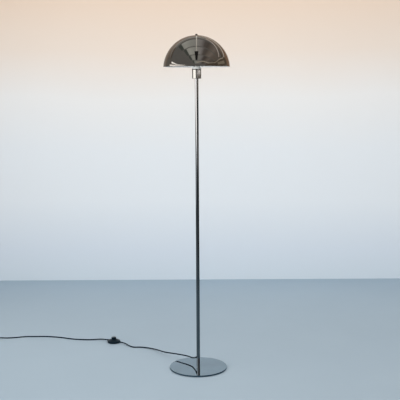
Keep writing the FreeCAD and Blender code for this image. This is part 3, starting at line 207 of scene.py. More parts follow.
def plain_metal(name, colour, roughness, grain_scale):
    """Plated or drawn metal with a fine grain and a little tarnish."""
    made, tree, shader = new_material(name, Metallic=1.0)
    place = coordinates(tree)
    tarnish = noise(tree, place, grain_scale * 0.1, 3.0)
    darker = opaque(part * 0.72 for part in colour)
    join(tree, mixed(tree, spread(tree, tarnish, 0.35, 0.75), opaque(colour), darker), shader, "Base Color")
    grain = noise(tree, place, grain_scale, 3.0)
    join(tree, spread(tree, grain, 0.3, 0.7, roughness * 0.8, roughness * 1.25), shader, "Roughness")
    join(tree, bumped(tree, grain, 0.00003, 0.3), shader, "Normal")
    return made


# Plastics, rubber and the rest

def moulded(name, colour, roughness, grain_scale, grain_depth, dust, specular=0.5, gloss_tint=WHITE):
    """Moulded plastic or rubber with a fine grain, and lighter clouds of dust."""
    made, tree, shader = new_material(name, Specular_IOR_Level=specular, Specular_Tint=opaque(gloss_tint))
    place = coordinates(tree)
    grain = noise(tree, place, grain_scale, 2.0)
    cloud = noise(tree, place, grain_scale * 0.03, 4.0, 0.6)
    lighter = opaque(part + dust for part in colour)
    join(tree, mixed(tree, spread(tree, cloud, 0.4, 0.75), opaque(colour), lighter), shader, "Base Color")
    join(tree, spread(tree, cloud, 0.3, 0.7, roughness * 0.85, roughness * 1.2), shader, "Roughness")
    join(tree, bumped(tree, grain, grain_depth, 0.5), shader, "Normal")
    return made


def white_lacquer():
    """The shade's white inside, with a faint orange peel."""
    made, tree, shader = new_material("white_lacquer", Coat_Weight=0.25, Coat_Roughness=0.15)
    place = coordinates(tree)
    cloud = noise(tree, place, 9.0, 3.0)
    colours = ((0.80, 0.79, 0.765, 1.0), (0.86, 0.855, 0.84, 1.0))
    join(tree, mixed(tree, cloud, *colours), shader, "Base Color")
    peel = noise(tree, place, 650.0, 2.0)
    join(tree, spread(tree, peel, 0.3, 0.7, 0.32, 0.42), shader, "Roughness")
    join(tree, bumped(tree, peel, 0.0001, 0.25), shader, "Normal")
    return made


def opal_glass():
    """Milk-white glass with a clear gloss, a little light passing through its skin."""
    made, tree, shader = new_material("opal_glass", Coat_Weight=1.0, Coat_Roughness=0.04,
                                      Subsurface_Weight=0.35, Subsurface_Radius=(1.0, 0.9, 0.8),
                                      Subsurface_Scale=4 * MM)
    place = coordinates(tree)
    cloud = noise(tree, place, 30.0, 3.0)
    colours = ((0.80, 0.79, 0.76, 1.0), (0.88, 0.87, 0.85, 1.0))
    join(tree, mixed(tree, cloud, *colours), shader, "Base Color")
    join(tree, spread(tree, cloud, 0.3, 0.7, 0.22, 0.3), shader, "Roughness")
    return made


def felt():
    """Dark felt with short fibres that run mostly one way."""
    made, tree, shader = new_material("felt", Roughness=0.95, Sheen_Weight=0.4, Sheen_Roughness=0.6)
    place = coordinates(tree)
    fibres = noise(tree, coordinates(tree, (1.0, 3.0, 1.0)), 900.0, 4.0, 0.7)
    cloud = noise(tree, place, 40.0, 3.0)
    both = maths(tree, "MULTIPLY", fibres, cloud)
    colours = ((0.012, 0.012, 0.013, 1.0), (0.055, 0.055, 0.06, 1.0))
    join(tree, mixed(tree, spread(tree, both, 0.1, 0.45), *colours), shader, "Base Color")
    join(tree, bumped(tree, fibres, 0.0006, 0.8), shader, "Normal")
    return made


def woven_tape():
    """The strap's woven loops: crossed waves at thread width."""
    made, tree, shader = new_material("woven_tape", Roughness=0.88, Sheen_Weight=0.1)
    place = coordinates(tree)
    threads = [
        add_node(tree, "ShaderNodeTexWave", {"Vector": place, "Scale": 260.0, "Distortion": 1.2},
                 bands_direction=direction).outputs["Fac"]
        for direction in ("Y", "DIAGONAL")
    ]
    weave = maths(tree, "MULTIPLY", *threads)
    colours = ((0.005, 0.006, 0.007, 1.0), (0.022, 0.024, 0.027, 1.0))
    join(tree, mixed(tree, weave, *colours), shader, "Base Color")
    join(tree, bumped(tree, weave, 0.0004, 0.7), shader, "Normal")
    return made


dome_metal = dark_mirror("dome_metal", (0.29, 0.275, 0.255), 7.0, wave=0.12, rings=900.0)
pole_metal = dark_mirror("pole_metal", (0.28, 0.28, 0.285), 9.0, stretch=(3.0, 3.0, 0.4))
# The base's blue tint is a painted reflection of the bluish floor and room it mirrors
base_metal = dark_mirror("base_metal", (0.190, 0.265, 0.315), 8.0)
cup_metal = dark_mirror("cup_metal", (0.29, 0.28, 0.265), 14.0)
nickel = plain_metal("satin_nickel", (0.45, 0.44, 0.42), 0.26, 5000.0)
zinc = plain_metal("zinc_plate", (0.60, 0.60, 0.58), 0.33, 700.0)
brass = plain_metal("brass_sheet", (0.72, 0.56, 0.28), 0.26, 700.0)
black_lacquer = moulded("black_lacquer", (0.024, 0.015, 0.010), 0.3, 1500.0, 0.00005, 0.01, 0.35)
pin_metal = plain_metal("plug_pin_plate", (0.72, 0.71, 0.68), 0.16, 900.0)
white_plastic = moulded("white_plastic", (0.80, 0.79, 0.765), 0.32, 1200.0, 0.00005, 0.03)
ceramic = moulded("unglazed_ceramic", (0.78, 0.76, 0.70), 0.55, 900.0, 0.0002, 0.04)

# The black plastics, rubbers and cord are painted blue-black, with a blue tint on their gloss: painted
# light, the bluish cast of the room's light on them
PAINTED_BLUE_GLOSS = (0.35, 0.7, 1.0)
black_plastic = moulded("black_plastic", (0.003, 0.009, 0.014), 0.42, 2200.0, 0.00012, 0.003, 0.3, PAINTED_BLUE_GLOSS)
button_plastic = moulded("button_plastic", (0.003, 0.007, 0.011), 0.30, 2600.0, 0.00006, 0.002, 0.3, PAINTED_BLUE_GLOSS)
soft_black = moulded("soft_black_rubber", (0.003, 0.009, 0.014), 0.58, 1800.0, 0.0001, 0.003, 0.25, PAINTED_BLUE_GLOSS)
cord_black = moulded("cord_sheath", (0.002, 0.008, 0.016), 0.46, 2400.0, 0.00008, 0.002, 0.15, PAINTED_BLUE_GLOSS)

wire_brown = moulded("wire_insulation", (0.16, 0.06, 0.03), 0.45, 1500.0, 0.00005, 0.02)
lacquer = white_lacquer()
opal = opal_glass()
felt_pad = felt()
tape = woven_tape()

dress(["crown_washer"], cup_metal)
dress(["harp_legs", "harp_boss", "harp_stud"], nickel)
dress(["harp_ring"], black_lacquer)
dress(["base_screw", "pole_foot_plug", "joint_socket_lower", "joint_socket_upper", "joint_stud_lower",
       "joint_stud_upper", "pole_top_insert", "threaded_nipple", "lock_nut", "terminal_screws",
       "switch_housing_screws", "switch_terminal_screws", "switch_spring"], zinc)
dress(["centre_contact", "screw_shell", "bulb_tip", "switch_contact_ring", "switch_terminals"], brass)
dress(["bulb_cap", "plug_pins"], pin_metal)
dress(["lampholder_base", "lampholder_skirt"], white_plastic)
dress(["terminal_block"], ceramic)
dress(["bulb_insulator", "outlet_bush", "switch_base", "switch_cover", "plug_body", "plug_sleeves"],
      black_plastic)
dress(["switch_button"], button_plastic)
dress(["switch_feet", "switch_boot_lamp_side", "switch_boot_plug_side", "plug_relief"], soft_black)
dress(["pole_cable", "switch_cord_ends"], cord_black)
dress(["holder_wires", "switch_wires"], wire_brown)
dress(["bulb_glass"], opal)
dress(["base_pad"], felt_pad)


# Cords: the routes in metres, with the coil's turns worked out

CORD_DIAMETER = 0.006
ROUTE_TO_SWITCH = [
    (-0.01096, 0.02372, 0.04255),
    (-0.02236, 0.04840, 0.02987),
    (-0.0470, 0.0820, 0.0290),
    (-0.0810, 0.1090, 0.0280),
    (-0.1300, 0.1470, 0.0235),
    (-0.1650, 0.1780, 0.0185),
    (-0.2040, 0.2380, 0.0115),
    (-0.2260, 0.2700, 0.0070),
    (-0.2530, 0.2960, 0.0036),
    (-0.2920, 0.3140, 0.0030),
    (-0.3330, 0.3100, 0.0030),
    (-0.3570, 0.3340, 0.0050),
    (-0.38184, 0.3700, 0.0080),
    (-0.40263, 0.3820, 0.0080),
]
ROUTE_TO_COIL = [
    (-0.47537, 0.4240, 0.0080),
    (-0.49616, 0.4360, 0.0080),
    (-0.5290, 0.4460, 0.0046),
    (-0.5670, 0.4430, 0.0030),
    (-0.6070, 0.4470, 0.0030),
    (-0.6470, 0.4530, 0.0030),
    (-0.6840, 0.4670, 0.0030),
    (-0.7260, 0.4870, 0.0030),
    (-0.7690, 0.4990, 0.0030),
    (-0.8180, 0.5080, 0.0030),
    (-0.8680, 0.5050, 0.0030),
    (-0.9170, 0.5080, 0.0030),
    (-0.9670, 0.4880, 0.0030),
    (-1.0100, 0.4810, 0.0030),
    (-1.0440, 0.4845, 0.0038),
    (-1.0810, 0.4837, 0.0046),
]
ROUTE_TO_PLUG = [
    (-1.1524, 0.4230, 0.0111),
    (-1.1534, 0.3980, 0.0094),
    (-1.1550, 0.3750, 0.00685),
    (-1.1550, 0.3610, 0.00685),
]
COIL_CENTRE = (-1.112, 0.443)
COIL_MIDDLE_DIAMETER = 0.066
COIL_PITCH = 0.0065
COIL_TURNS = 4.25
COIL_LOWEST = 0.0046
POINTS_PER_TURN = 16


def coil_points():
    """Control points of the coil: it spirals in, climbs a layer as it turns back, and spirals out."""
    outside = 1 / math.cos(math.pi / POINTS_PER_TURN)
    outer = COIL_MIDDLE_DIAMETER / 2 + COIL_PITCH * COIL_TURNS / 4
    points = []
    for number in range(int(COIL_TURNS * POINTS_PER_TURN) + 1):
        turns = number / POINTS_PER_TURN
        radius = (outer - COIL_PITCH * min(turns, COIL_TURNS - turns)) * outside
        climb = min(max((turns - COIL_TURNS / 2) * 2 + 0.5, 0.0), 1.0)
        height = COIL_LOWEST + COIL_PITCH * climb ** 2 * (3 - 2 * climb)
        angle = QUARTER_TURN + FULL_TURN * turns
        points.append((COIL_CENTRE[0] + radius * math.cos(angle),
                       COIL_CENTRE[1] + radius * math.sin(angle), height))
    return points


def make_cord(name, points):
    """A round cord along smooth bends between the control points."""
    curve = bpy.data.curves.new(name, "CURVE")
    curve.dimensions = "3D"
    curve.bevel_depth = CORD_DIAMETER / 2
    curve.bevel_resolution = 7
    curve.resolution_u = 10
    curve.use_fill_caps = True
    spline = curve.splines.new("NURBS")
    spline.points.add(len(points) - 1)
    for control, point in zip(spline.points, points):
        control.co = (*point, 1.0)
    spline.order_u = 3
    spline.use_endpoint_u = True
    curve.materials.append(cord_black)
    piece = bpy.data.objects.new(name, curve)
    bpy.context.scene.collection.objects.link(piece)
    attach(piece, LAMP)
    return piece


lamp_cord = make_cord("lamp_cord", ROUTE_TO_SWITCH)
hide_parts("cord_to_switch")
plug_cord = make_cord("plug_cord", ROUTE_TO_COIL + coil_points() + ROUTE_TO_PLUG)
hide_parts("cord_to_coil", "cord_coil", "cord_to_plug")


# Mesh helpers

SHARP_ANGLE = math.radians(35)


def shown_mesh(name, vertices, faces, materials, face_materials=None):
    mesh = bpy.data.meshes.new(name)
    mesh.from_pydata(vertices, [], faces)
    for material in materials:
        mesh.materials.append(material)
    if face_materials:
        mesh.polygons.foreach_set("material_index", face_materials)
    mesh.shade_smooth()
    mesh.set_sharp_from_angle(angle=SHARP_ANGLE)
    mesh.validate()
    piece = bpy.data.objects.new(name, mesh)
    bpy.context.scene.collection.objects.link(piece)
    return piece


def lathed(name, profile, materials, segments, stripe_materials=None):
    """A shape turned about the Z axis from (radius, height) points in order round its section."""
    vertices, faces, face_materials = [], [], []
    for step in range(segments):
        angle = FULL_TURN * step / segments
        vertices += [(radius * math.cos(angle), radius * math.sin(angle), z) for radius, z in profile]
    count = len(profile)
    for step in range(segments):
        here, there = step * count, (step + 1) % segments * count
        for stripe in range(count):
            after = (stripe + 1) % count
            faces.append((here + stripe, there + stripe, there + after, here + after))
            face_materials.append(stripe_materials[stripe] if stripe_materials else 0)
    return shown_mesh(name, vertices, faces, materials, face_materials)


def arc_points(centre, radius, start, end, steps):
    """Points of an arc in the section plane, angles from the radial direction."""
    return [(centre[0] + radius * math.cos(start + (end - start) * step / steps),
             centre[1] + radius * math.sin(start + (end - start) * step / steps))
            for step in range(steps + 1)]


# Shade: a spun dome, dark mirror outside and white lacquer inside, with a turned-in hem

def make_shade():
    low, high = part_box("shade")
    rim_radius = (high.x - low.x) / 2
    wall = 1.0 * MM
    flat = 9.0 * MM
    hole = 3.05 * MM
    ledge = 1.4 * MM
    hem_height = 2.4 * MM
    hem_round = 0.9 * MM
    hem_start = -0.2
    hem_steps = 6
    notch = hem_round * 0.3
    rings = 72
    height = high.z - low.z
    below = (rim_radius ** 2 - flat ** 2 - height ** 2) / (2 * height)
    centre_height = low.z - below
    outer = math.hypot(rim_radius, below)
    inner = outer - wall
    wall_start = math.asin((low.z + hem_height - centre_height) / inner)
    hem_inner = inner * math.cos(wall_start) - ledge
    rim_angle = math.asin((low.z + hem_round - centre_height) / outer)
    profile = arc_points((0, centre_height), outer, math.acos(flat / outer), rim_angle, rings)
    outside_count = len(profile)
    round_centre = (rim_radius - hem_round, low.z + hem_round)
    profile += arc_points(round_centre, hem_round, hem_start, -QUARTER_TURN, hem_steps)
    inner_round = (hem_inner + hem_round, low.z + hem_round)
    profile += arc_points(inner_round, hem_round, -QUARTER_TURN, -HALF_TURN, hem_steps)
    hem_top = low.z + hem_height
    profile += [(hem_inner, hem_top - notch), (hem_inner + notch, hem_top)]
    profile += arc_points((0, centre_height), inner, wall_start, math.acos(flat / inner), rings)
    profile += [(hole, high.z - wall), (hole, high.z)]

    # Dark metal outside to the middle of the hem's outer rounding, and on the crown's flat and hole
    first_white = outside_count + hem_steps // 2
    last_white = len(profile) - 3
    stripes = [1 if first_white <= number <= last_white else 0 for number in range(len(profile))]
    shade = lathed("shade_shell", profile, [dome_metal, lacquer], 256, stripes)
    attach(shade, SHADE)
    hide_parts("shade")


make_shade()


# Pole, cup, base plate, ring and finial: turned shapes without flats

def rounded(points, radii):
    """A section outline with rounded corners, one radius for each point.

    A point a little beyond each end of a rounding keeps the long faces' shading flat."""
    beyond = 0.15 * MM
    steps = 5
    outline = []
    for number, (point, radius) in enumerate(zip(points, radii)):
        corner = Vector(point)
        if not radius:
            outline.append(tuple(corner))
            continue
        before = (Vector(points[number - 1]) - corner).normalized()
        after = (Vector(points[(number + 1) % len(points)]) - corner).normalized()
        start, end = corner + before * radius, corner + after * radius
        outline.append(tuple(start + before * beyond))
        for step in range(steps + 1):
            share = step / steps
            rest = 1 - share
            outline.append(tuple(start * rest ** 2 + corner * (2 * share * rest) + end * share ** 2))
        outline.append(tuple(end + after * beyond))
    return outline


def turned_piece(name, points, radii, material, body, replaced, segments=128):
    """A turned shape with rounded corners that rides a body and replaces CAD nodes."""
    piece = lathed(name, rounded(points, radii), [material], segments)
    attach(piece, body)
    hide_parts(*replaced)


def make_turned_pieces():
    edge = 0.2 * MM
    tube_wall = 1.2 * MM
    cup_wall = 1.0 * MM

    low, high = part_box("pole_lower")
    radius = (high.x - low.x) / 2
    inner = radius - tube_wall
    tops = [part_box(name)[1].z for name in ("pole_lower", "pole_middle", "pole_upper")]
    starts = [low.z] + tops[:-1]
    for name, start, end in zip(("lower", "middle", "upper"), starts, tops):
        turned_piece(f"pole_tube_{name}", [(inner, start), (radius, start), (radius, end), (inner, end)],
                     [0, edge, edge, 0], pole_metal, LAMP, [f"pole_{name}"], 64)

    low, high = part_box("base_plate")
    radius = (high.x - low.x) / 2
    countersink = 7.6 * MM
    screw_hole = 4.2 * MM
    turned_piece("base_disc", [(countersink, low.z), (radius, low.z), (radius, high.z),
                               (screw_hole, high.z)],
                 [0, 0.3 * MM, 0.8 * MM, 0], base_metal, LAMP, ["base_plate"], 256)

    low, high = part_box("lampholder_cup")
    radius = (high.x - low.x) / 2
    inner = radius - cup_wall
    floor = low.z + cup_wall
    bore = 5.2 * MM
    turned_piece("holder_cup", [(bore, low.z), (radius, low.z), (radius, high.z), (inner, high.z),
                                (inner, floor), (bore, floor)],
                 [0, 1.2 * MM, edge, edge, 0, 0], cup_metal, LAMP, ["lampholder_cup"])

    low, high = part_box("holder_ring")
    radius = (high.x - low.x) / 2
    inner = 18.6 * MM
    turned_piece("shade_ring", [(inner, low.z), (radius, low.z), (radius, high.z), (inner, high.z)],
                 [0, edge, 0.8 * MM, 0], white_plastic, LAMP, ["holder_ring"])

    low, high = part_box("finial")
    radius = (high.x - low.x) / 2
    skirt = 1.6 * MM
    bore = 3.1 * MM
    bore_end = low.z + 4.0 * MM
    rise = high.z - low.z - skirt
    dome = (radius ** 2 + rise ** 2) / (2 * rise)
    nearly_up = QUARTER_TURN - 0.002
    cap = arc_points((0, high.z - dome), dome, math.asin((dome - rise) / dome), nearly_up, 24)
    outline = [(bore, low.z), (radius, low.z)] + cap + [(0.02 * MM, bore_end), (bore, bore_end)]
    knob = lathed("finial_knob", outline, [black_lacquer], 64)
    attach(knob, SHADE)
    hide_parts("finial")


make_turned_pieces()


# Strap round the coil

def make_strap():
    low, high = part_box("cord_tie")
    width = high.y - low.y
    thickness = 1.2 * MM
    corner = 3.0 * MM
    steps = 6
    loop = []
    left, right = low.x + corner, high.x - corner
    bottom, top = low.z + corner, high.z - corner
    centres = [(right, top), (left, top), (left, bottom), (right, bottom)]
    for number, (x, z) in enumerate(centres):
        for step in range(steps + 1):
            angle = QUARTER_TURN * (number + step / steps)
            loop.append((x, z, math.cos(angle), math.sin(angle)))

    # The strap's section: its depth in thicknesses from the outside, and its place across in widths
    section = [(0.0, -0.5), (0.0, -0.47), (0.0, 0.47), (0.0, 0.5), (-0.85, 0.5), (-1.0, 0.47),
               (-1.0, -0.47), (-0.85, -0.5)]
    vertices, faces = [], []
    middle_y = (low.y + high.y) / 2
    for x, z, out_x, out_z in loop:
        for depth, across in section:
            reach = corner + depth * thickness
            vertices.append((x + out_x * reach, middle_y + across * width, z + out_z * reach))
    count = len(section)
    for step in range(len(loop)):
        here, there = step * count, (step + 1) % len(loop) * count
        for side in range(count):
            after = (side + 1) % count
            faces.append((here + side, there + side, there + after, here + after))
    strap = shown_mesh("coil_strap", vertices, faces, [tape])
    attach(strap, LAMP)
    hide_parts("cord_tie")
    return strap


strap = make_strap()


# Stage: pale floor and backdrop, both clear from behind, soft lights, and painted reflections for the metal

WALL_PLACE = 1.827
# The backdrop's tones by height carry painted light and shade: darker and cooler towards the floor, warmer
# towards the top
WALL_TONES = [(0.00, (0.63, 0.71, 0.78)), (0.20, (0.67, 0.735, 0.81)), (0.55, (0.76, 0.80, 0.84)),
              (0.90, (0.76, 0.79, 0.82)), (1.25, (0.79, 0.78, 0.77)), (1.55, (0.77, 0.67, 0.59)),
              (1.90, (0.74, 0.59, 0.475))]

# Painted reflections of overhead strips, in widths from their left edge: pale, then dim, dark and brown
STRIP_TONES = [(0.0, (1.00, 1.02, 0.95)), (0.2, (1.18, 1.20, 1.12)), (0.5, (0.93, 0.95, 0.89)),
               (0.85, (0.82, 0.80, 0.77)), (1.0, (0.70, 0.66, 0.65)), (1.2, (0.32, 0.28, 0.26)),
               (1.4, (0.28, 0.24, 0.21)), (1.6, (0.44, 0.37, 0.32)), (1.95, (0.60, 0.51, 0.45)),
               (2.3, (0.44, 0.37, 0.32)), (3.0, (0.40, 0.33, 0.28))]

STAGE_REACH = 9.0
LEFT_SIDE = -2.3
RIGHT_SIDE = 2.3
OVERHEAD = 2.4

# The side window's light: its ends along Y, its foot and its top
WINDOW_NEAR, WINDOW_FAR = -6.3, 0.35
WINDOW_SILL, WINDOW_HEAD = 0.75, 1.67


def sheet_object(name, corners, material):
    mesh = bpy.data.meshes.new(name)
    mesh.from_pydata(corners, [], [(0, 1, 2, 3)])
    mesh.materials.append(material)
    made = bpy.data.objects.new(name, mesh)
    bpy.context.scene.collection.objects.link(made)
    return made


def painted_reflection_panel(name, corners, colour, strength):
    """A painted reflection: a glowing panel, no lamp, that only the polished metal shows."""
    made = bpy.data.materials.new(name)
    made.use_nodes = True
    tree = made.node_tree
    tree.nodes.remove(tree.nodes["Principled BSDF"])
    glow = add_node(tree, "ShaderNodeEmission", {"Color": opaque(colour), "Strength": strength})
    tree.links.new(glow.outputs[0], tree.nodes["Material Output"].inputs["Surface"])
    panel = sheet_object(name, corners, made)
    panel.visible_camera = False
    panel.visible_diffuse = False
    panel.visible_transmission = False
    panel.visible_shadow = False
    return panel


def clear_from_behind(material, shader):
    """Let a camera behind the sheet see through it."""
    tree = material.node_tree
    clear = add_node(tree, "ShaderNodeBsdfTransparent").outputs[0]
    behind = add_node(tree, "ShaderNodeNewGeometry").outputs["Backfacing"]
    either = add_node(tree, "ShaderNodeMixShader", {0: behind, 1: shader.outputs[0], 2: clear})
    tree.links.new(either.outputs[0], tree.nodes["Material Output"].inputs["Surface"])


def floor_material():
    """Pale painted floor; where the polished metal shows it, painted shade makes it darker, most on the far
    side.
    """
    made, tree, shader = new_material("floor_paint", Roughness=0.55, Specular_IOR_Level=0.3)
    place = coordinates(tree)
    cloud = noise(tree, place, 0.8, 4.0, 0.6)
    pale = mixed(tree, cloud, (0.345, 0.445, 0.535, 1.0), (0.415, 0.525, 0.615, 1.0))
    distance = add_node(tree, "ShaderNodeVectorMath", {0: place}, operation="LENGTH").outputs["Value"]
    far = spread(tree, distance, 0.9, 3.0)
    # Painted shade: the colour the metal shows of the floor, darker towards the far side
    shaded = mixed(tree, far, (0.100, 0.178, 0.245, 1.0), (0.052, 0.079, 0.108, 1.0))
    reflected = add_node(tree, "ShaderNodeLightPath").outputs["Is Glossy Ray"]
    join(tree, mixed(tree, reflected, pale, shaded), shader, "Base Color")
    clear_from_behind(made, shader)
    return made


def wall_material():
    """Pale plaster with painted light and shade: warmer above, cooler and darker below; painted shade above
    where the polished metal shows it.
    """
    made, tree, shader = new_material("wall_paint", Roughness=0.9, Specular_IOR_Level=0.1)
    place = add_node(tree, "ShaderNodeTexCoord").outputs["Object"]
    height = add_node(tree, "ShaderNodeSeparateXYZ", {0: place}).outputs["Z"]
    waver = maths(tree, "MULTIPLY", noise(tree, place, 0.9, 2.0), 0.12)
    plain = toned(tree, maths(tree, "ADD", height, waver), 0.06, WALL_TONES)
    # Painted shade on the upper wall, only where the polished metal shows it
    dimmed = spread(tree, height, 0.9, 1.3, 1.0, 0.5)
    shaded = add_node(tree, "ShaderNodeHueSaturation", {"Color": plain, "Value": dimmed})
    reflected = add_node(tree, "ShaderNodeLightPath").outputs["Is Glossy Ray"]
    join(tree, mixed(tree, reflected, plain, shaded.outputs["Color"]), shader, "Base Color")
    clear_from_behind(made, shader)
    return made


def area_light(name, place, target, size, radiance, colour=WHITE, roll=0.0, shown_in_metal=False):
    """A soft box of that radiance, aimed at a target and rolled about its own axis."""
    data = bpy.data.lights.new(name, "AREA")
    data.shape = "RECTANGLE"
    data.size, data.size_y = size
    data.energy = radiance * math.pi * size[0] * size[1]
    data.color = colour
    lamp = bpy.data.objects.new(name, data)
    lamp.location = place
    lamp.rotation_mode = "QUATERNION"
    aim = (Vector(target) - Vector(place)).to_track_quat("-Z", "Y")
    lamp.rotation_quaternion = aim @ Quaternion((0, 0, 1), math.radians(roll))
    lamp.visible_glossy = shown_in_metal
    lamp.visible_camera = False
    bpy.context.scene.collection.objects.link(lamp)


def level_panel(name, x_span, y_span, height, colour, strength):
    """A painted reflection panel that lies level, overhead."""
    corners = [(x_span[0], y_span[0], height), (x_span[1], y_span[0], height),
               (x_span[1], y_span[1], height), (x_span[0], y_span[1], height)]
    return painted_reflection_panel(name, corners, colour, strength)


def tone_across(panel, left, width):
    """Colour a painted reflection panel along X by the strip tones."""
    last = STRIP_TONES[-1][0]
    tree = panel.active_material.node_tree
    place = add_node(tree, "ShaderNodeTexCoord").outputs["Object"]
    across = add_node(tree, "ShaderNodeSeparateXYZ", {0: place}).outputs["X"]
    widths = spread(tree, across, left, left + width * last, 0.0, last)
    tree.links.new(toned(tree, widths, 0.0, STRIP_TONES), tree.nodes["Emission"].inputs["Color"])


def slanted(first, second, thickness):
    """Corners of a band from one point to another, as thick as the third vector."""
    lower = [Vector(first), Vector(second)]
    return lower + [corner + Vector(thickness) for corner in reversed(lower)]


def upright_panel(name, x, y_span, z_span, colour, strength):
    """A painted reflection panel that stands beside the lamp."""
    corners = [(x, y_span[0], z_span[0]), (x, y_span[1], z_span[0]),
               (x, y_span[1], z_span[1]), (x, y_span[0], z_span[1])]
    painted_reflection_panel(name, corners, colour, strength)


def make_room():
    """The floor, a hair below the lamp's pad, and the backdrop."""
    below = -0.3 * MM
    top = 4.0
    near_left, near_right = (-STAGE_REACH, -STAGE_REACH, below), (STAGE_REACH, -STAGE_REACH, below)
    far_left, far_right = (-STAGE_REACH, STAGE_REACH, below), (STAGE_REACH, STAGE_REACH, below)
    floor = sheet_object("floor", [near_left, near_right, far_right, far_left], floor_material())
    floor.visible_shadow = False
    foot_left, foot_right = (-STAGE_REACH, WALL_PLACE, 0), (STAGE_REACH, WALL_PLACE, 0)
    top_left, top_right = (-STAGE_REACH, WALL_PLACE, top), (STAGE_REACH, WALL_PLACE, top)
    sheet_object("backdrop", [foot_left, foot_right, top_right, top_left], wall_material())


def make_lights():
    middle = ((WINDOW_NEAR + WINDOW_FAR) / 2, (WINDOW_SILL + WINDOW_HEAD) / 2)
    size = (WINDOW_FAR - WINDOW_NEAR, WINDOW_HEAD - WINDOW_SILL)
    area_light("side_window", (LEFT_SIDE, *middle), (0, *middle), size, 3.2,
               (1.0, 0.98, 0.95), roll=-7.4, shown_in_metal=True)
    area_light("top_light", (0.0, -0.8, 3.6), (0, 0, 0), (4.0, 4.0), 0.75)
    area_light("wall_light", (0.5, -0.9, 3.0), (0.5, WALL_PLACE, 0.35), (5.0, 1.0), 2.75)
    area_light("front_light", (0.5, -6.0, 2.3), (0, 0.15, 1.2), (4.0, 1.6), 2.4)
    area_light("floor_light", (0.2, -2.6, 0.02), (0.2, -2.6, 1), (3.0, 1.6), 4.0)
    area_light("under_light", (0.5, -3.5, -3.0), (0, 0, 0.6), (6.0, 5.0), 1.2, (1.0, 0.96, 0.92))


def make_overhead_strips():
    """Painted reflections: glowing strips, each with a dimmer edge at its left, which the dome's crown
    shows as bands.
    """
    strip_right = 2.2
    edge_width = 0.2
    edge_colour, edge_strength = (0.9, 1.0, 0.9), 0.16
    strips = [(-3.2, -1.96, -0.32, 1.02, 0.50), (-1.84, -1.01, -0.46, 0.90, 0.56),
              (-0.93, -0.28, -0.52, 0.78, 0.70), (-0.21, 0.44, -0.62, 0.80, 0.66)]
    for number, (start, end, left, width, strength) in enumerate(strips):
        span = (start, end)
        name = f"overhead_strip_{number}"
        strip = level_panel(name, (left, strip_right), span, OVERHEAD, WHITE, strength)
        tone_across(strip, left, width)
        edge = (left - edge_width, left)
        level_panel(f"overhead_edge_{number}", edge, span, OVERHEAD, edge_colour, edge_strength)


def make_overhead_lines():
    """Painted reflections of brighter and darker lines overhead; those that cross the strips hang a little
    below them.
    """
    low, lower = OVERHEAD - 0.01, OVERHEAD - 0.02
    level_panel("overhead_far", (-0.95, 0.3), (0.66, 0.98), OVERHEAD, (1.0, 0.97, 0.9), 0.46)
    level_panel("overhead_line", (-0.014, 0.014), (-0.58, 1.6), lower, (1.0, 0.96, 0.88), 1.3)
    level_panel("overhead_dark_reflection", (-0.11, 0.11), (-1.90, -0.62), lower, (1.0, 0.95, 0.9), 0.03)
    level_panel("overhead_cove_left", (-2.2, 0.15), (0.98, 1.12), OVERHEAD, (1.0, 0.93, 0.86), 0.75)
    level_panel("overhead_cove_right", (0.15, 2.3), (1.38, 1.58), OVERHEAD, (1.0, 0.90, 0.80), 1.4)
    beam = slanted((0.3, 0.74, lower), (1.85, 0.02, lower), (0, 0.14, 0))
    painted_reflection_panel("overhead_beam", beam, (1.0, 0.9, 0.82), 1.05)

    # The rail's painted reflection comes in level, then runs along the right side
    rail_x = RIGHT_SIDE - 0.01
    rail = [(0.0, -2.76, low), (0.78, -2.25, low), (rail_x, -2.37, low),
            (rail_x, -0.9, 2.14), (rail_x, -0.08, 2.32), (rail_x, 1.06, 2.34)]
    level_parts = 2
    for number, (first, second) in enumerate(zip(rail, rail[1:])):
        thickness = (0, 0.28, 0) if number < level_parts else (0, 0, 0.07)
        painted_reflection_panel(f"rail_{number}", slanted(first, second, thickness), (1.0, 0.88, 0.72), 0.9)


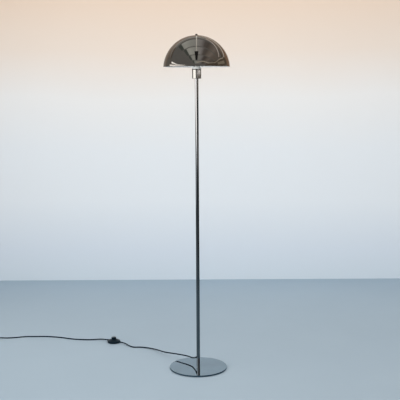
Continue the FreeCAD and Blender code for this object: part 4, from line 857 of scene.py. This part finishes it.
def make_side_panels():
    """Painted reflections and painted shade round the lamp, as panels, shelves and dim parts, which the
    pole, the cup and the dome show.
    """
    # A dimmer patch of painted shade over the window's reflection
    window_shade = [(0.36, 1.79), (-1.15, 1.85), (-1.15, 1.87), (0.36, 1.985)]
    corners = [(LEFT_SIDE + 0.02, y, z) for y, z in window_shade]
    painted_reflection_panel("window_shade", corners, (1.0, 0.93, 0.87), 0.65)
    sill_x = LEFT_SIDE + 0.01
    sill = slanted((sill_x, 0.6, 1.68), (sill_x, -4.2, 2.14), (0, 0, 0.11))
    painted_reflection_panel("sill_line", sill, (1.0, 0.97, 0.93), 2.6)

    right, back = RIGHT_SIDE - 0.02, WALL_PLACE - 0.02
    warm_back = slanted((0.8, back, 1.5), (right, back, 1.5), (0, 0, 0.9))
    painted_reflection_panel("warm_back", warm_back, (1.0, 0.65, 0.44), 0.36)
    upright_panel("warm_side", right, (-0.5, 1.0), (1.85, 2.12), (1.0, 0.85, 0.66), 0.48)

    front = -6.4
    side_shelf = slanted((right, front, 1.449), (right, 0.2, 1.399), (0, 0, 0.023))
    painted_reflection_panel("side_shelf", side_shelf, (1.0, 0.96, 0.96), 2.5)
    front_shelf = slanted((-0.12, front, 1.450), (right, front, 1.450), (0, 0, 0.028))
    painted_reflection_panel("front_shelf", front_shelf, (1.0, 0.95, 0.94), 2.9)
    flag_y = front - 0.02
    front_dark_reflection = slanted((-1.6, flag_y, 1.95), (1.6, flag_y, 1.95), (0, 0, 0.43))
    painted_reflection_panel("front_dark_reflection", front_dark_reflection, (0.8, 0.9, 1.0), 0.02)

    window_span = (WINDOW_NEAR, WINDOW_FAR)
    beyond_span = (WINDOW_FAR + 0.01, WALL_PLACE)
    upright_panel("left_low_panel", LEFT_SIDE - 0.01, window_span, (0.42, 0.9), (0.82, 0.92, 1.0), 0.62)
    upright_panel("left_far_panel", LEFT_SIDE, beyond_span, (1.2, OVERHEAD), (1.0, 0.92, 0.82), 0.26)

    # The right side's painted reflections from the floor up: top of the panel, colour and strength
    right_panels = [(0.55, (0.8, 0.92, 1.0), 0.04), (1.22, (0.95, 0.95, 1.0), 0.09),
                    (1.4, (1.0, 0.88, 0.74), 0.30), (1.72, (1.0, 0.92, 0.85), 0.52),
                    (OVERHEAD, (1.0, 0.80, 0.58), 0.18)]
    bottom = 0.0
    for number, (top, colour, strength) in enumerate(right_panels):
        span = (bottom, top)
        upright_panel(f"right_panel_{number}", RIGHT_SIDE, (-5.0, WALL_PLACE), span, colour, strength)
        bottom = top


def make_world():
    """A faint even light from all sides."""
    world = bpy.data.worlds.new("room")
    world.use_nodes = True
    background = world.node_tree.nodes["Background"]
    background.inputs["Color"].default_value = opaque((1.0, 0.97, 0.92))
    background.inputs["Strength"].default_value = 0.27
    bpy.context.scene.world = world


make_room()
make_lights()
make_overhead_strips()
make_overhead_lines()
make_side_panels()
make_world()

scene = bpy.context.scene
scene.view_settings.view_transform = "Standard"
